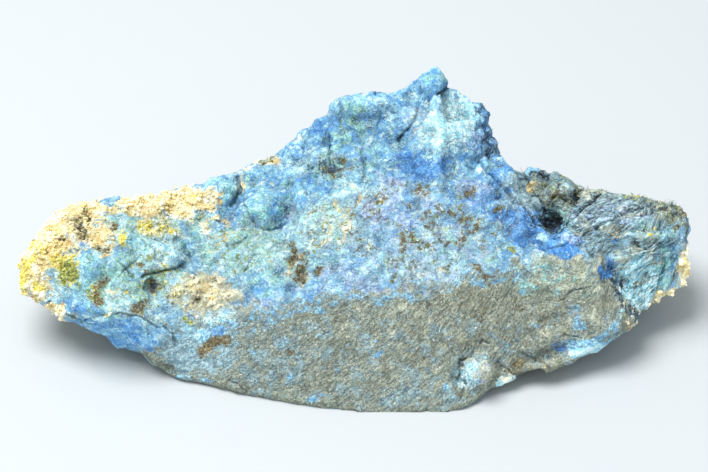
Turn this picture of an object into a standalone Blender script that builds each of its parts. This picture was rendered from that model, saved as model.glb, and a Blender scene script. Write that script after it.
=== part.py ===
"""A specimen of aerinite: one broken piece of blue fibrous rock, lying on its flattest break.

The stone is one solid. Its form is set by its arrises, the edges where one broken face meets the
next: two lofts through them, the wedge-shaped main mass and the fibrous shelf on its right, are
fused, and the knobs, grooves, hollows, ledges and chips are then pushed into the fused surface.
The arrises are in millimetres, with X along the stone, Y away from the front and Z up from the
surface that it lies on. Blender's own units are metres.
"""

import bmesh
import bpy
import numpy as np
from mathutils import Vector, kdtree

MM = 0.001
STONE = "aerinite_stone"

# How finely the stone is worked, in millimetres, and how many triangles are kept
STATION_STEP = 1.2
FUSE_CELL = 0.5
KEPT_TRIANGLES = 9300

STONE_COLOUR = (0.20, 0.36, 0.55, 1.0)
STONE_ROUGHNESS = 0.85

# The main mass. Toe and brow bound the steep grey face, brow and crest the sloping blue one.
TOE = [
    (-29.9, 10.0, 5.5), (-29.2, 9.6, 4.9), (-27.8, 8.8, 5.0), (-26.5, 8.2, 4.4), (-22.0, 6.5, 2.5),
    (-18.5, 5.6, 1.3), (-16.6, 4.2, 0.2), (-11.2, 2.5, 0.1), (-4.9, 0.6, 0.1), (0.0, 0.0, 0.0),
    (9.7, 0.0, 0.0), (12.2, 1.6, 0.6), (14.9, 2.9, 1.6), (22.1, 5.0, 2.8), (25.7, 7.5, 4.0),
]
BROW = [
    (-29.9, 8.9, 7.1), (-28.5, 8.2, 6.6), (-26.5, 7.4, 5.2), (-24.2, 5.6, 7.3), (-22.0, 5.0, 8.0),
    (-19.0, 4.9, 7.1), (-16.6, 5.3, 5.5), (-13.9, 5.6, 5.4), (-11.2, 5.4, 6.7), (-8.5, 5.2, 8.1),
    (-4.9, 5.0, 9.2), (2.3, 5.1, 10.1), (6.8, 5.4, 10.4), (10.4, 6.2, 10.8), (17.2, 7.9, 11.0),
    (19.9, 8.3, 11.3), (22.1, 8.5, 10.5), (24.4, 8.3, 6.3), (25.7, 8.0, 4.9),
]
CREST = [
    (-29.9, 11.5, 8.2), (-29.2, 12.2, 9.3), (-27.8, 13.0, 10.6), (-24.7, 15.0, 12.1),
    (-20.2, 16.0, 12.1), (-15.2, 17.5, 12.0), (-10.3, 18.5, 13.4), (-6.7, 19.2, 14.3),
    (-4.0, 20.5, 17.2), (-1.7, 21.0, 19.0), (4.1, 21.5, 19.8), (5.9, 21.8, 20.4), (7.5, 22.3, 22.1),
    (8.6, 22.0, 20.1), (11.3, 21.2, 19.0), (12.4, 20.6, 17.2), (13.2, 18.5, 15.9),
    (14.9, 14.2, 14.4), (16.7, 10.9, 12.7), (19.9, 8.9, 11.6), (22.1, 8.8, 10.6), (25.7, 8.4, 5.2),
]
SHOULDER = [
    (-29.9, 12.6, 7.2), (-27.8, 16.0, 9.0), (-24.7, 18.5, 9.0), (-20.2, 20.0, 8.6),
    (-15.2, 21.5, 8.4), (-10.3, 22.6, 9.8), (-6.7, 23.4, 10.8), (-4.0, 24.2, 13.4),
    (0.0, 25.3, 15.2), (4.0, 26.0, 15.6), (7.5, 26.0, 16.4), (11.3, 24.8, 15.0),
    (12.4, 23.5, 12.6), (14.9, 17.0, 10.0), (19.9, 12.0, 9.0), (25.7, 9.5, 5.2),
]
BACK = [
    (-29.9, 12.8, 6.2), (-27.8, 17.0, 6.2), (-24.7, 20.2, 5.5), (-20.2, 21.6, 4.6),
    (-10.3, 24.6, 5.2), (0.0, 27.2, 6.5), (7.5, 28.0, 6.2), (11.3, 26.5, 6.0), (14.9, 18.0, 6.0),
    (19.9, 13.0, 5.5), (25.7, 9.8, 4.8),
]
HEEL = [
    (-29.9, 12.0, 5.2), (-27.8, 15.5, 3.6), (-24.7, 18.2, 2.2), (-20.2, 19.8, 1.0),
    (-10.3, 22.8, 0.3), (0.0, 25.3, 0.2), (7.5, 26.0, 0.2), (11.3, 25.0, 0.3), (14.9, 18.0, 0.5),
    (19.9, 13.0, 1.5), (25.7, 9.5, 4.2),
]
UNDERSIDE_REAR = [
    (-29.9, 11.5, 5.2), (-27.8, 13.5, 3.7), (-24.7, 15.0, 2.0), (-20.2, 16.0, 0.3),
    (-14.0, 17.5, -0.6), (0.0, 20.0, -0.8), (11.3, 20.0, -0.6), (14.9, 16.0, 0.0),
    (19.9, 11.0, 1.2), (25.7, 9.0, 4.0),
]
UNDERSIDE_FRONT = [
    (-29.9, 10.8, 5.2), (-27.8, 11.0, 4.2), (-24.7, 9.8, 2.6), (-20.2, 8.8, 0.9),
    (-16.6, 7.5, -0.3), (-4.9, 4.0, -0.8), (9.7, 3.5, -0.8), (14.9, 6.0, 0.2), (19.9, 7.5, 1.6),
    (25.7, 8.3, 3.9),
]
# How far the blue face swells above a straight line from brow to crest, along the stone
BLUE_SWELL = [(-29.9, 0.5), (-24.0, 1.3), (-15.0, 1.0), (-6.7, 0.2), (0.0, 0.6), (8.0, 0.9),
              (12.4, 0.3), (19.9, 0.0), (25.7, 0.0)]
BLUE_OUTWARD = (0.0, -0.5, 0.87)

# The fibrous shelf on the right, lower than the main mass and set back from its grey face
SHELF_TOE = [
    (11.5, 9.0, 0.6), (20.0, 9.2, 0.8), (24.0, 9.3, 1.8), (27.1, 10.5, 4.0), (29.5, 11.8, 4.7),
    (30.4, 12.4, 4.9),
]
SHELF_FRONT = [
    (11.5, 9.0, 5.0), (20.0, 9.2, 6.0), (24.0, 9.9, 6.4), (27.1, 11.2, 7.2), (29.5, 12.4, 7.4),
    (30.4, 12.7, 7.0),
]
SHELF_LIP = [
    (11.5, 9.5, 8.0), (20.0, 9.6, 10.6), (23.0, 10.7, 10.9), (27.0, 11.5, 11.0), (29.5, 13.0, 9.6),
    (30.4, 13.3, 9.2),
]
SHELF_CREST = [
    (11.5, 21.5, 12.4), (13.0, 21.0, 12.1), (15.0, 20.5, 11.0), (17.2, 20.0, 11.6),
    (19.4, 19.0, 12.2), (20.8, 18.5, 11.2), (23.0, 17.0, 11.4), (26.6, 16.5, 11.2),
    (29.3, 15.5, 11.0), (30.4, 14.8, 10.3),
]
SHELF_SHOULDER = [
    (11.5, 25.0, 9.0), (15.0, 24.6, 7.4), (19.4, 23.6, 8.0), (23.0, 22.0, 7.0), (26.6, 21.0, 7.2),
    (29.3, 18.5, 8.4), (30.4, 16.2, 8.9),
]
SHELF_BACK = [
    (11.5, 26.4, 4.5), (19.4, 25.3, 4.6), (26.6, 22.8, 4.6), (29.3, 19.0, 5.6), (30.4, 16.3, 7.0),
]
SHELF_HEEL = [
    (11.5, 24.8, 0.3), (19.4, 23.6, 0.4), (24.0, 22.0, 0.6), (27.1, 19.5, 1.9), (29.5, 16.0, 4.2),
    (30.4, 15.4, 5.3),
]
SHELF_UNDER_REAR = [
    (11.5, 20.0, -0.6), (19.4, 19.5, -0.6), (24.0, 18.0, 0.0), (27.1, 16.5, 1.8), (29.5, 15.0, 4.4),
    (30.4, 14.5, 4.9),
]
SHELF_UNDER_FRONT = [
    (11.5, 12.0, -0.6), (19.4, 12.0, -0.3), (24.0, 12.0, 0.6), (27.1, 12.8, 2.2), (29.5, 13.0, 4.6),
    (30.4, 13.2, 4.7),
]

# Lumps that stand out of the skin, and hollows where the height is below zero: the middle of
# each, how wide it is and how high
CRUST_LUMPS = [
    ((-28.2, 10.8, 9.3), 3.0, 0.3), ((-24.9, 11.5, 11.2), 3.8, 0.7), ((-22.8, 13.6, 11.9), 3.4, 0.6),
    ((-20.2, 14.6, 11.9), 3.2, 0.5), ((-17.1, 15.6, 11.7), 3.6, 0.6), ((-15.3, 14.2, 11.2), 2.8, 0.4),
    ((-21.4, 9.4, 9.8), 4.2, 0.5), ((-18.4, 11.0, 10.4), 4.0, 0.5), ((-17.9, 7.6, 8.5), 1.8, -0.7),
    ((-14.6, 8.0, 7.7), 3.4, 0.6), ((-12.2, 6.8, 7.2), 3.2, 0.5), ((-16.6, 4.4, 1.0), 2.6, -0.6),
]
KNOBS = [
    ((-12.8, 16.5, 12.2), 4.4, 1.1), ((-8.3, 14.2, 12.3), 5.8, 1.3), ((-6.6, 8.6, 10.6), 3.8, 0.4),
    ((-3.6, 12.6, 13.6), 4.4, 0.4), ((2.0, 12.8, 14.8), 5.5, 0.4), ((4.4, 9.2, 13.0), 5.0, 0.4),
    ((11.4, 11.2, 13.6), 4.4, 0.4),
]
PEAK_FORMS = [
    ((7.3, 21.5, 21.2), 3.2, 0.6), ((9.4, 17.6, 18.0), 5.4, 0.5), ((5.0, 15.2, 16.9), 5.0, -0.7),
    ((8.2, 14.2, 16.6), 5.0, -0.7), ((-2.6, 17.9, 16.6), 2.6, -0.8),
]
SHELF_FORMS = [
    ((17.5, 14.1, 10.7), 4.6, -1.8), ((16.3, 19.6, 11.3), 3.4, 0.5), ((18.8, 16.8, 11.3), 3.6, 0.7),
    ((22.8, 13.2, 11.1), 3.6, 0.5), ((27.4, 14.4, 11.2), 3.6, 0.5), ((29.4, 13.2, 8.4), 2.8, 0.5),
    ((23.0, 9.6, 7.0), 3.6, -0.6),
]
BROKEN_LIP = [
    ((9.4, 1.5, 2.7), 2.8, -0.8), ((11.3, 2.4, 2.9), 3.6, 0.8), ((12.6, 2.0, 1.1), 2.2, -0.3),
]
BACK_FORMS = [
    ((-21.0, 20.8, 6.4), 5.0, 0.7), ((-12.0, 24.0, 8.0), 6.0, -0.9), ((-2.0, 26.0, 11.0), 6.0, 0.8),
    ((6.5, 27.0, 8.0), 7.0, -1.0), ((11.0, 26.0, 11.0), 3.5, 0.6), ((20.0, 24.2, 5.4), 5.0, -0.8),
]
LUMPS = CRUST_LUMPS + KNOBS + PEAK_FORMS + SHELF_FORMS + BROKEN_LIP + BACK_FORMS

# Cracks and folds: how wide and how deep each is, and the points it runs through
KNOB_CREVICES = [
    (1.6, 1.0, [(-10.4, 18.4, 13.3), (-10.5, 15.4, 12.3), (-11.5, 13.6, 11.5)]),
    (1.6, 0.8, [(-6.0, 15.6, 13.4), (-5.9, 13.2, 12.4), (-7.1, 11.6, 11.4)]),
]
CRUST_STEP = (1.6, 0.7, [(-15.3, 11.8, 10.1), (-15.0, 10.2, 9.1), (-15.6, 9.3, 8.8), (-17.6, 8.0, 8.7)])
PEAK_FOLD = (1.8, 1.0, [(3.9, 16.9, 17.4), (5.0, 17.6, 18.0), (5.9, 18.4, 18.7), (7.9, 20.9, 20.3)])
SHELF_GAP = (1.8, 0.9, [(13.4, 17.2, 12.8), (15.6, 14.2, 12.2), (17.4, 12.0, 11.6), (19.8, 10.2, 11.2)])
SHELF_CRACKS = [
    (1.4, 0.8, [(21.6, 8.8, 10.6), (22.2, 8.2, 9.4), (22.5, 8.0, 7.8)]),
    (1.6, 0.7, [(20.4, 12.0, 11.2), (24.0, 12.4, 11.2), (28.4, 13.4, 10.6)]),
]
LIP_CRACKS = [
    (1.3, 0.6, [(9.7, 2.2, 3.6), (10.1, 3.0, 5.0), (11.1, 3.4, 5.2)]),
    (1.5, 0.7, [(14.6, 3.2, 2.6), (16.2, 3.8, 3.0), (19.3, 4.7, 3.6)]),
]
BACK_CRACKS = [
    (1.8, 0.9, [(-7.0, 24.0, 12.0), (-5.0, 25.6, 8.0), (-6.0, 25.2, 4.0)]),
    (1.8, 0.8, [(12.6, 24.0, 12.0), (13.2, 24.6, 8.0), (12.4, 25.4, 3.0)]),
]
CRACKS = KNOB_CREVICES + [CRUST_STEP, PEAK_FOLD, SHELF_GAP] + SHELF_CRACKS + LIP_CRACKS + BACK_CRACKS

# Flat chips, the scars of small breaks: how big they are, and how far they step and tilt
CHIP_SIZE = 4.4
CHIP_STEP = 0.2
CHIP_TILT = 0.1
CHIP_LIMIT = 0.15
SMALL_CHIP_SIZE = 2.2
SMALL_CHIP_SHARE = 0.6
CHIP_SEED = 11
# The back and the ends broke in larger pieces
BACK_FACING = (0.0, 1.0, 0.15)
BACK_CHIP_SIZE = 8.0
BACK_CHIP_STEP = 0.6
BACK_CHIP_TILT = 0.2
BACK_CHIP_LIMIT = 1.1
# The grey face was polished by movement in the rock, so chips hardly show on it
GREY_FACING = (0.0, -0.89, 0.45)
GREY_SHARE = 0.3
GREY_END = 21.5
# The shelf's fibres run up to the right, and its chips are long slivers beside each other
FIBRE = (0.93, 0.35, 0.1)
FIBRE_STRETCH = 4.0
SHELF_START = 13.5
SLIVER_SIZE = 1.9
SLIVER_STEP = 0.45
# The steep right side of the main mass is notched by the ends of fibres
NOTCHED_MIDDLE = (12.3, 19.0, 15.6)
NOTCHED_WIDTH = 7.0
NOTCH_PITCH = 1.3
NOTCH_DEPTH = 0.5
NOTCH_SLOPE = 0.4
# Heights between which the roughness fades out, so that the cut underside is one clean facet
BASE_FADE = (-0.1, 1.0)


def clear_scene():
    for obj in list(bpy.data.objects):
        bpy.data.objects.remove(obj)


def at_station(line, x):
    """The point of an arris at this distance along the stone, in metres."""
    xs, ys, zs = zip(*line)
    return Vector((x, np.interp(x, xs, ys), np.interp(x, xs, zs))) * MM


def between(low_line, high_line, share):
    """A line part of the way from brow to crest, raised by the blue face's swell."""
    outward = Vector(BLUE_OUTWARD)
    swell_x, swell = zip(*BLUE_SWELL)
    stations = sorted({point[0] for point in low_line + high_line})
    line = []
    for x in stations:
        low, high = at_station(low_line, x) / MM, at_station(high_line, x) / MM
        line.append(tuple(low.lerp(high, share) + outward * np.interp(x, swell_x, swell)))
    return line


def loft(name, lines):
    """A closed solid through the arrises: a ring at each station, bridged to the next."""
    first, last = lines[0][0][0], lines[0][-1][0]
    stations = np.linspace(first, last, 1 + round((last - first) / STATION_STEP))
    bm = bmesh.new()
    rings = []
    for x in stations:
        corners = [bm.verts.new(at_station(line, x)) for line in lines]
        rings.append([bm.edges.new((corners[i - 1], corners[i])) for i in range(len(corners))])
    for ring, following in zip(rings, rings[1:]):
        bmesh.ops.bridge_loops(bm, edges=ring + following)
    for end in (rings[0], rings[-1]):
        bmesh.ops.contextual_create(bm, geom=end)
    bmesh.ops.recalc_face_normals(bm, faces=bm.faces)
    return new_object(name, bm)


def new_object(name, bm):
    mesh = bpy.data.meshes.new(name)
    bm.to_mesh(mesh)
    bm.free()
    obj = bpy.data.objects.new(name, mesh)
    bpy.context.scene.collection.objects.link(obj)
    return obj


def applied(obj):
    """Fixes the object's modifiers into its mesh."""
    graph = bpy.context.evaluated_depsgraph_get()
    mesh = bpy.data.meshes.new_from_object(obj.evaluated_get(graph))
    obj.modifiers.clear()
    obj.data = mesh
    return obj


def fused(stone, *others):
    """The stone and the other masses as one skin of small, even faces."""
    for other in others:
        joint = stone.modifiers.new("join " + other.name, "BOOLEAN")
        joint.operation = "UNION"
        joint.object = other
    skin = stone.modifiers.new("one skin", "REMESH")
    skin.mode = "VOXEL"
    skin.voxel_size = FUSE_CELL * MM
    applied(stone)
    for other in others:
        bpy.data.objects.remove(other)
    return stone


def lump_heights(points):
    """How far the lumps and hollows move each point, in millimetres."""
    heights = np.zeros(len(points))
    for middle, width, height in LUMPS:
        share = np.linalg.norm(points - middle, axis=1) / (width / 2)
        heights += height * np.clip(1 - share ** 2, 0, None) ** 2
    return heights


def crack_depths(points):
    """How deep the cracks and folds are at each point, in millimetres."""
    depths = np.zeros(len(points))
    for width, depth, route in CRACKS:
        distance = np.full(len(points), np.inf)
        for start, end in zip(np.array(route), np.array(route[1:])):
            run = end - start
            along = np.clip((points - start) @ run / (run @ run), 0, 1)
            nearest = start + along[:, None] * run
            distance = np.minimum(distance, np.linalg.norm(points - nearest, axis=1))
        depths = np.maximum(depths, depth * np.clip(1 - distance / (width / 2), 0, 1))
    return depths


def chip_heights(points, size, step, tilt, seed):
    """A height for each point that makes the skin a patchwork of tilted flat chips."""
    rng = np.random.default_rng(seed)
    low, high = points.min(axis=0) - size, points.max(axis=0) + size
    cells = np.stack(np.meshgrid(*(np.arange(a, b, size) for a, b in zip(low, high))), axis=-1)
    seeds = cells.reshape(-1, 3) + rng.uniform(-0.45, 0.45, (cells.size // 3, 3)) * size
    steps = rng.uniform(-1, 1, len(seeds)) * step
    tilts = rng.normal(size=(len(seeds), 3)) * tilt
    tree = kdtree.KDTree(len(seeds))
    for i, seed_point in enumerate(seeds):
        tree.insert(seed_point, i)
    tree.balance()
    nearest = np.array([tree.find(point)[1] for point in points])
    return steps[nearest] + np.einsum("ij,ij->i", points - seeds[nearest], tilts[nearest])


def share_of(values, low, high):
    """0 below low, 1 above high and even in between."""
    return np.clip((values - low) / (high - low), 0, 1)


def roughness(points, normals):
    """How far chips, slivers and notches move each point, in millimetres."""
    broken = chip_heights(points, CHIP_SIZE, CHIP_STEP, CHIP_TILT, CHIP_SEED)
    small = chip_heights(points, SMALL_CHIP_SIZE, CHIP_STEP, CHIP_TILT, CHIP_SEED + 1)
    large = chip_heights(points, BACK_CHIP_SIZE, BACK_CHIP_STEP, BACK_CHIP_TILT, CHIP_SEED + 3)
    at_back = share_of(normals @ np.array(BACK_FACING), 0.1, 0.6)
    chips = np.minimum(broken, CHIP_LIMIT) + SMALL_CHIP_SHARE * small
    chips += np.clip(large, -BACK_CHIP_LIMIT, 0) * at_back
    grey = share_of(normals @ np.array(GREY_FACING), 0.8, 0.95)
    grey *= 1 - share_of(points[:, 0], GREY_END - 1, GREY_END + 1)
    chips *= 1 - (1 - GREY_SHARE) * grey

    fibre = np.array(FIBRE) / np.linalg.norm(FIBRE)
    squeezed = points - np.outer(points @ fibre * (1 - 1 / FIBRE_STRETCH), fibre)
    slivers = chip_heights(squeezed, SLIVER_SIZE, SLIVER_STEP, CHIP_TILT, CHIP_SEED + 2)
    on_shelf = share_of(points[:, 0], SHELF_START, SHELF_START + 2) * (1 - grey)

    away = np.linalg.norm(points - NOTCHED_MIDDLE, axis=1)
    notched = 1 - share_of(away, NOTCHED_WIDTH / 4, NOTCHED_WIDTH / 2)
    down = (points[:, 2] + NOTCH_SLOPE * points[:, 1]) / NOTCH_PITCH
    notches = -NOTCH_DEPTH * np.abs(np.sin(np.pi * down))
    return chips * (1 - on_shelf) + slivers * on_shelf + notches * notched


def shape_skin(stone):
    """Pushes the lumps, hollows, cracks and chips into the skin, along its own normals."""
    mesh = stone.data
    points = np.empty(len(mesh.vertices) * 3)
    normals = np.empty(len(mesh.vertices) * 3)
    mesh.vertices.foreach_get("co", points)
    mesh.vertices.foreach_get("normal", normals)
    points, normals = points.reshape(-1, 3) / MM, normals.reshape(-1, 3)
    heights = lump_heights(points) - crack_depths(points) + roughness(points, normals)
    heights *= share_of(points[:, 2], *BASE_FADE)
    moved = (points + normals * heights[:, None]) * MM
    mesh.vertices.foreach_set("co", moved.ravel())
    mesh.update()


def rest_on_floor(stone):
    """Cuts the underside flat at the surface it lies on, and centres the stone over the origin."""
    bm = bmesh.new()
    bm.from_mesh(stone.data)
    everything = bm.verts[:] + bm.edges[:] + bm.faces[:]
    cut = bmesh.ops.bisect_plane(
        bm, geom=everything, dist=0.0, plane_co=(0, 0, 0), plane_no=(0, 0, -1), clear_outer=True)
    rim = [part for part in cut["geom_cut"] if isinstance(part, bmesh.types.BMEdge)]
    for edge in rim:
        for vert in edge.verts:
            vert.co.z = 0.0
    bmesh.ops.holes_fill(bm, edges=rim)
    corners = np.array([vert.co for vert in bm.verts])
    middle = (corners.min(axis=0) + corners.max(axis=0)) / 2
    bmesh.ops.translate(bm, verts=bm.verts, vec=(-middle[0], -middle[1], 0.0))
    bmesh.ops.recalc_face_normals(bm, faces=bm.faces)
    bm.to_mesh(stone.data)
    bm.free()


def main():
    clear_scene()
    main_mass = [
        TOE, BROW, between(BROW, CREST, 0.3), between(BROW, CREST, 0.68), CREST, SHOULDER, BACK,
        HEEL, UNDERSIDE_REAR, UNDERSIDE_FRONT,
    ]
    shelf = [
        SHELF_TOE, SHELF_FRONT, SHELF_LIP, SHELF_CREST, SHELF_SHOULDER, SHELF_BACK, SHELF_HEEL,
        SHELF_UNDER_REAR, SHELF_UNDER_FRONT,
    ]
    stone = loft(STONE, main_mass)
    fused(stone, loft("fibrous shelf", shelf))
    shape_skin(stone)
    fewer = stone.modifiers.new("fewer faces", "DECIMATE")
    fewer.ratio = KEPT_TRIANGLES / sum(len(face.vertices) - 2 for face in stone.data.polygons)
    applied(stone)
    rest_on_floor(stone)
    stone.data.materials.append(blue_stone())


def blue_stone():
    """Aerinite's own colour, a soft blue with no gloss."""
    material = bpy.data.materials.new("aerinite")
    material.use_nodes = True
    shader = material.node_tree.nodes["Principled BSDF"]
    shader.inputs["Base Color"].default_value = STONE_COLOUR
    shader.inputs["Roughness"].default_value = STONE_ROUGHNESS
    shader.inputs["Metallic"].default_value = 0.0
    return material


main()
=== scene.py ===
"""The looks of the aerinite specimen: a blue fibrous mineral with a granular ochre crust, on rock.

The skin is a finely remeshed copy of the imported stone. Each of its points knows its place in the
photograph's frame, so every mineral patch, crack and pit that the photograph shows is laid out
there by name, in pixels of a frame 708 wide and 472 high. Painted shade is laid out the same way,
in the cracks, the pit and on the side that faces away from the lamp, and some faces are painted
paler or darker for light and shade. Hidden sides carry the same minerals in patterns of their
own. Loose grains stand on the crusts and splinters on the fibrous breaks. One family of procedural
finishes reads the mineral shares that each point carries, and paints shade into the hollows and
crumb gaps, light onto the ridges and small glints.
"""

import math

import bmesh
import bpy
import numpy as np
from bpy.props import FloatProperty, FloatVectorProperty, IntProperty, PointerProperty
from mathutils import Matrix, Vector, noise


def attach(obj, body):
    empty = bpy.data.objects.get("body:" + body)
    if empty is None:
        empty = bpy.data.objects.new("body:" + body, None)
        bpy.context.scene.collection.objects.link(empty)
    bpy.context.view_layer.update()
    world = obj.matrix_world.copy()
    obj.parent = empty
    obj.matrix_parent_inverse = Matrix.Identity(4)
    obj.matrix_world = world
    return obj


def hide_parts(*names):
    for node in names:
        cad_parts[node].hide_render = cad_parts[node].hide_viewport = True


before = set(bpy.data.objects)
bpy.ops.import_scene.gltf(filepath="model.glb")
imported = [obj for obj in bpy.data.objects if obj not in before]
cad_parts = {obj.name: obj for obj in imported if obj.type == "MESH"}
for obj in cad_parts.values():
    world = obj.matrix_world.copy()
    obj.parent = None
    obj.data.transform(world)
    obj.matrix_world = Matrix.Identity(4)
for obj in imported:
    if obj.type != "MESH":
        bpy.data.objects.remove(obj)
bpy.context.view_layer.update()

bl_info = {
    "name": "Aerinite Specimen",
    "version": (1, 0, 0),
    "blender": (4, 5, 0),
    "location": "3D View > Sidebar > Aerinite",
    "description": "Dresses the packed stone as a specimen of blue aerinite on grey rock",
    "category": "Object",
}

MM = 0.001
STONE = "aerinite_stone"
SKIN = "aerinite_skin"
BODY = "root"

# The photograph's frame and where the stone's lowest front point lies in it, in pixels and millimetres
PHOTO_WIDTH = 708
PHOTO_HEIGHT = 472
PIXEL = 0.0897
VIEW_ELEVATION = 38.0
LENS = 135.0
SENSOR = 36.0
TOE = np.array((-0.2, -14.05, 0.0))
TOE_ROW = 412
MID_DEPTH = 3.0

# The photograph's right, upward and inward directions, and where it was taken from
TILT = math.radians(VIEW_ELEVATION)
RIGHT = np.array((1.0, 0.0, 0.0))
UP = np.array((0.0, math.sin(TILT), math.cos(TILT)))
INWARD = np.array((0.0, math.cos(TILT), -math.sin(TILT)))
MIDDLE = TOE + UP * (TOE_ROW - PHOTO_HEIGHT / 2) * PIXEL + INWARD * MID_DEPTH
EYE = MIDDLE - INWARD * (PIXEL * PHOTO_WIDTH * LENS / SENSOR)

# The brow, where the blue face turns down into the grey one, in the photograph's pixels
BROW = (
    (20, 330), (60, 318), (85, 311), (110, 309), (145, 316), (170, 328), (200, 326), (230, 317),
    (260, 308), (282, 305), (300, 299), (340, 290), (389, 293), (420, 287), (450, 280), (470, 275),
    (510, 268), (545, 258), (565, 255), (580, 256), (600, 262), (612, 278), (625, 300), (640, 314),
    (660, 330), (700, 340),
)

# Mineral patches: left, top, right and bottom pixel, then the share covered and a turn in degrees
SKY = (
    (562, 340, 620, 356, 0.8), (599, 314, 620, 345, 0.6), (520, 285, 532, 295, 0.7),
    (440, 386, 455, 399, 0.7), (247, 344, 254, 351), (254, 328, 261, 335, 0.8),
    (276, 339, 294, 346, 0.6), (374, 335, 381, 339, 0.8), (304, 396, 317, 403, 0.8),
    (320, 394, 331, 401, 0.8), (498, 341, 509, 348, 0.7), (240, 320, 300, 360, 0.12),
    (225, 330, 240, 345, 0.5), (350, 318, 372, 340, 0.3), (316, 330, 322, 335), (378, 350, 385, 359),
    (172, 376, 186, 382), (199, 378, 211, 385), (576, 315, 586, 328), (286, 371, 292, 376),
    (330, 368, 336, 373), (420, 340, 427, 346), (530, 320, 540, 330, 0.7), (663, 239, 681, 274),
    (650, 270, 676, 296, 0.8, 50), (160, 330, 250, 375, 0.18), (604, 236, 640, 250, 0.6),
    (165, 325, 190, 345, 0.4), (300, 345, 330, 360, 0.3), (560, 300, 600, 330, 0.3),
    (79, 316, 160, 350, 0.95, 8), (540, 170, 578, 212, 0.3), (627, 218, 682, 240, 0.4),
)
DEEP = (
    (79, 316, 160, 350, 0.5, 8), (66, 300, 106, 315, 0.55), (317, 121, 343, 134, 0.7),
    (340, 147, 355, 160, 0.8), (319, 154, 328, 163, 0.8), (374, 128, 386, 137, 0.7),
    (303, 173, 332, 196, 0.6), (424, 88, 437, 99), (453, 94, 460, 105, 0.9), (390, 145, 452, 181, 0.85),
    (427, 146, 438, 166, 0.85), (271, 200, 286, 222, 0.9), (183, 231, 201, 244, 0.6),
    (121, 239, 137, 262, 0.5), (497, 212, 552, 250, 0.75, 25), (514, 232, 526, 243),
    # (603, 261, 614, 282) is the shaded thin side of the grey slab: blue mineral, painted deeper blue for
    # its shade
    (545, 228, 580, 260, 0.8, 35), (565, 247, 580, 259), (603, 261, 614, 282, 1.0, -12),
    (611, 238, 618, 246), (206, 326, 229, 335, 0.7), (548, 336, 562, 353, 0.5),
    (138, 191, 154, 197, 0.35), (330, 105, 400, 140, 0.46), (488, 150, 510, 200, 0.55, 35),
    (240, 240, 260, 262, 0.45), (185, 195, 240, 240, 0.35), (455, 180, 500, 215, 0.45),
    (505, 245, 540, 262, 0.6), (630, 300, 650, 318, 0.6), (300, 105, 405, 152, 0.56),
    (418, 70, 452, 98, 0.4), (240, 190, 290, 230, 0.4), (470, 180, 520, 225, 0.4),
    # (474, 98, 500, 166) is on the serrated side that faces away from the lamp: blue mineral, painted
    # deeper for its shade
    (440, 262, 500, 276, 0.3), (302, 152, 358, 182, 0.35), (474, 98, 500, 166, 0.45, 12),
)
TEAL = (
    # (143, 267, 169, 277) is the painted shadow under the ledge of the light blue lump
    (185, 214, 216, 241, 0.7), (123, 230, 130, 236), (138, 236, 146, 241), (143, 267, 169, 277, 0.8),
    (77, 286, 92, 300, 0.8), (276, 252, 289, 266, 0.8), (336, 106, 362, 130, 0.6), (450, 166, 456, 176),
    (627, 218, 682, 240, 0.3), (330, 128, 352, 150, 0.6), (205, 175, 240, 206, 0.5),
    (190, 220, 290, 274, 0.58), (130, 262, 190, 285, 0.5), (70, 246, 165, 318, 0.6),
    (240, 210, 310, 300, 0.42), (619, 298, 646, 317, 0.6), (540, 196, 580, 240, 0.3),
    (315, 100, 400, 180, 0.32), (360, 220, 520, 285, 0.24), (660, 240, 668, 290, 0.8),
    (500, 262, 606, 300, 0.28), (46, 258, 62, 272, 0.6), (244, 178, 256, 187, 0.8),
    (112, 200, 124, 216, 0.5), (230, 180, 365, 285, 0.36), (240, 190, 285, 226, 0.5),
    (300, 150, 356, 184, 0.5), (418, 70, 452, 98, 0.3), (96, 204, 190, 262, 0.5),
)
LAVENDER = (
    (374, 170, 404, 209, 0.9), (356, 207, 392, 222, 0.8), (462, 126, 482, 156, 0.45),
    (592, 200, 636, 220, 0.25, -12), (618, 210, 648, 222, 0.4), (560, 234, 581, 247, 0.8),
    (330, 236, 380, 262, 0.45), (400, 190, 440, 214, 0.4), (455, 176, 490, 205, 0.5),
    (300, 195, 330, 215, 0.35), (440, 230, 500, 262, 0.4), (406, 104, 422, 138, 0.45, 30),
    (575, 215, 600, 235, 0.3), (280, 200, 300, 230, 0.3), (355, 190, 480, 290, 0.42),
    (300, 255, 430, 292, 0.4), (466, 354, 492, 388, 0.35),
)
PALE = (
    (25, 298, 41, 316), (42, 276, 67, 308, 0.75), (84, 314, 108, 323), (104, 304, 118, 314, 0.8),
    (110, 201, 122, 218, 0.85), (190, 220, 290, 274, 0.42), (130, 238, 188, 272, 0.62),
    (330, 176, 364, 197, 0.75), (411, 98, 480, 153, 0.95, -38), (442, 95, 478, 142, 0.95),
    (420, 154, 430, 160), (534, 234, 546, 241, 0.9), (462, 362, 477, 390, 0.75, 18),
    (501, 380, 513, 388, 0.5), (290, 210, 360, 250, 0.5), (340, 250, 500, 285, 0.4),
    (98, 290, 140, 312, 0.6), (160, 270, 186, 290, 0.5), (150, 222, 185, 240, 0.5),
    (365, 185, 405, 200, 0.6), (400, 225, 460, 250, 0.35), (280, 155, 320, 180, 0.5),
    (240, 188, 275, 212, 0.35), (205, 178, 232, 200, 0.35), (560, 186, 568, 194, 0.9),
    (488, 165, 540, 226, 0.1, 40), (180, 292, 195, 307, 0.7), (200, 310, 241, 325, 0.6),
    (130, 314, 175, 326, 0.5), (520, 252, 545, 268, 0.5), (345, 95, 385, 110, 0.4),
    (66, 236, 76, 246, 0.6), (614, 250, 662, 310, 0.85), (476, 351, 488, 362, 0.6),
    (676, 256, 690, 300, 0.4), (168, 318, 232, 340, 0.3), (98, 200, 132, 248, 0.5),
)
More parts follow.
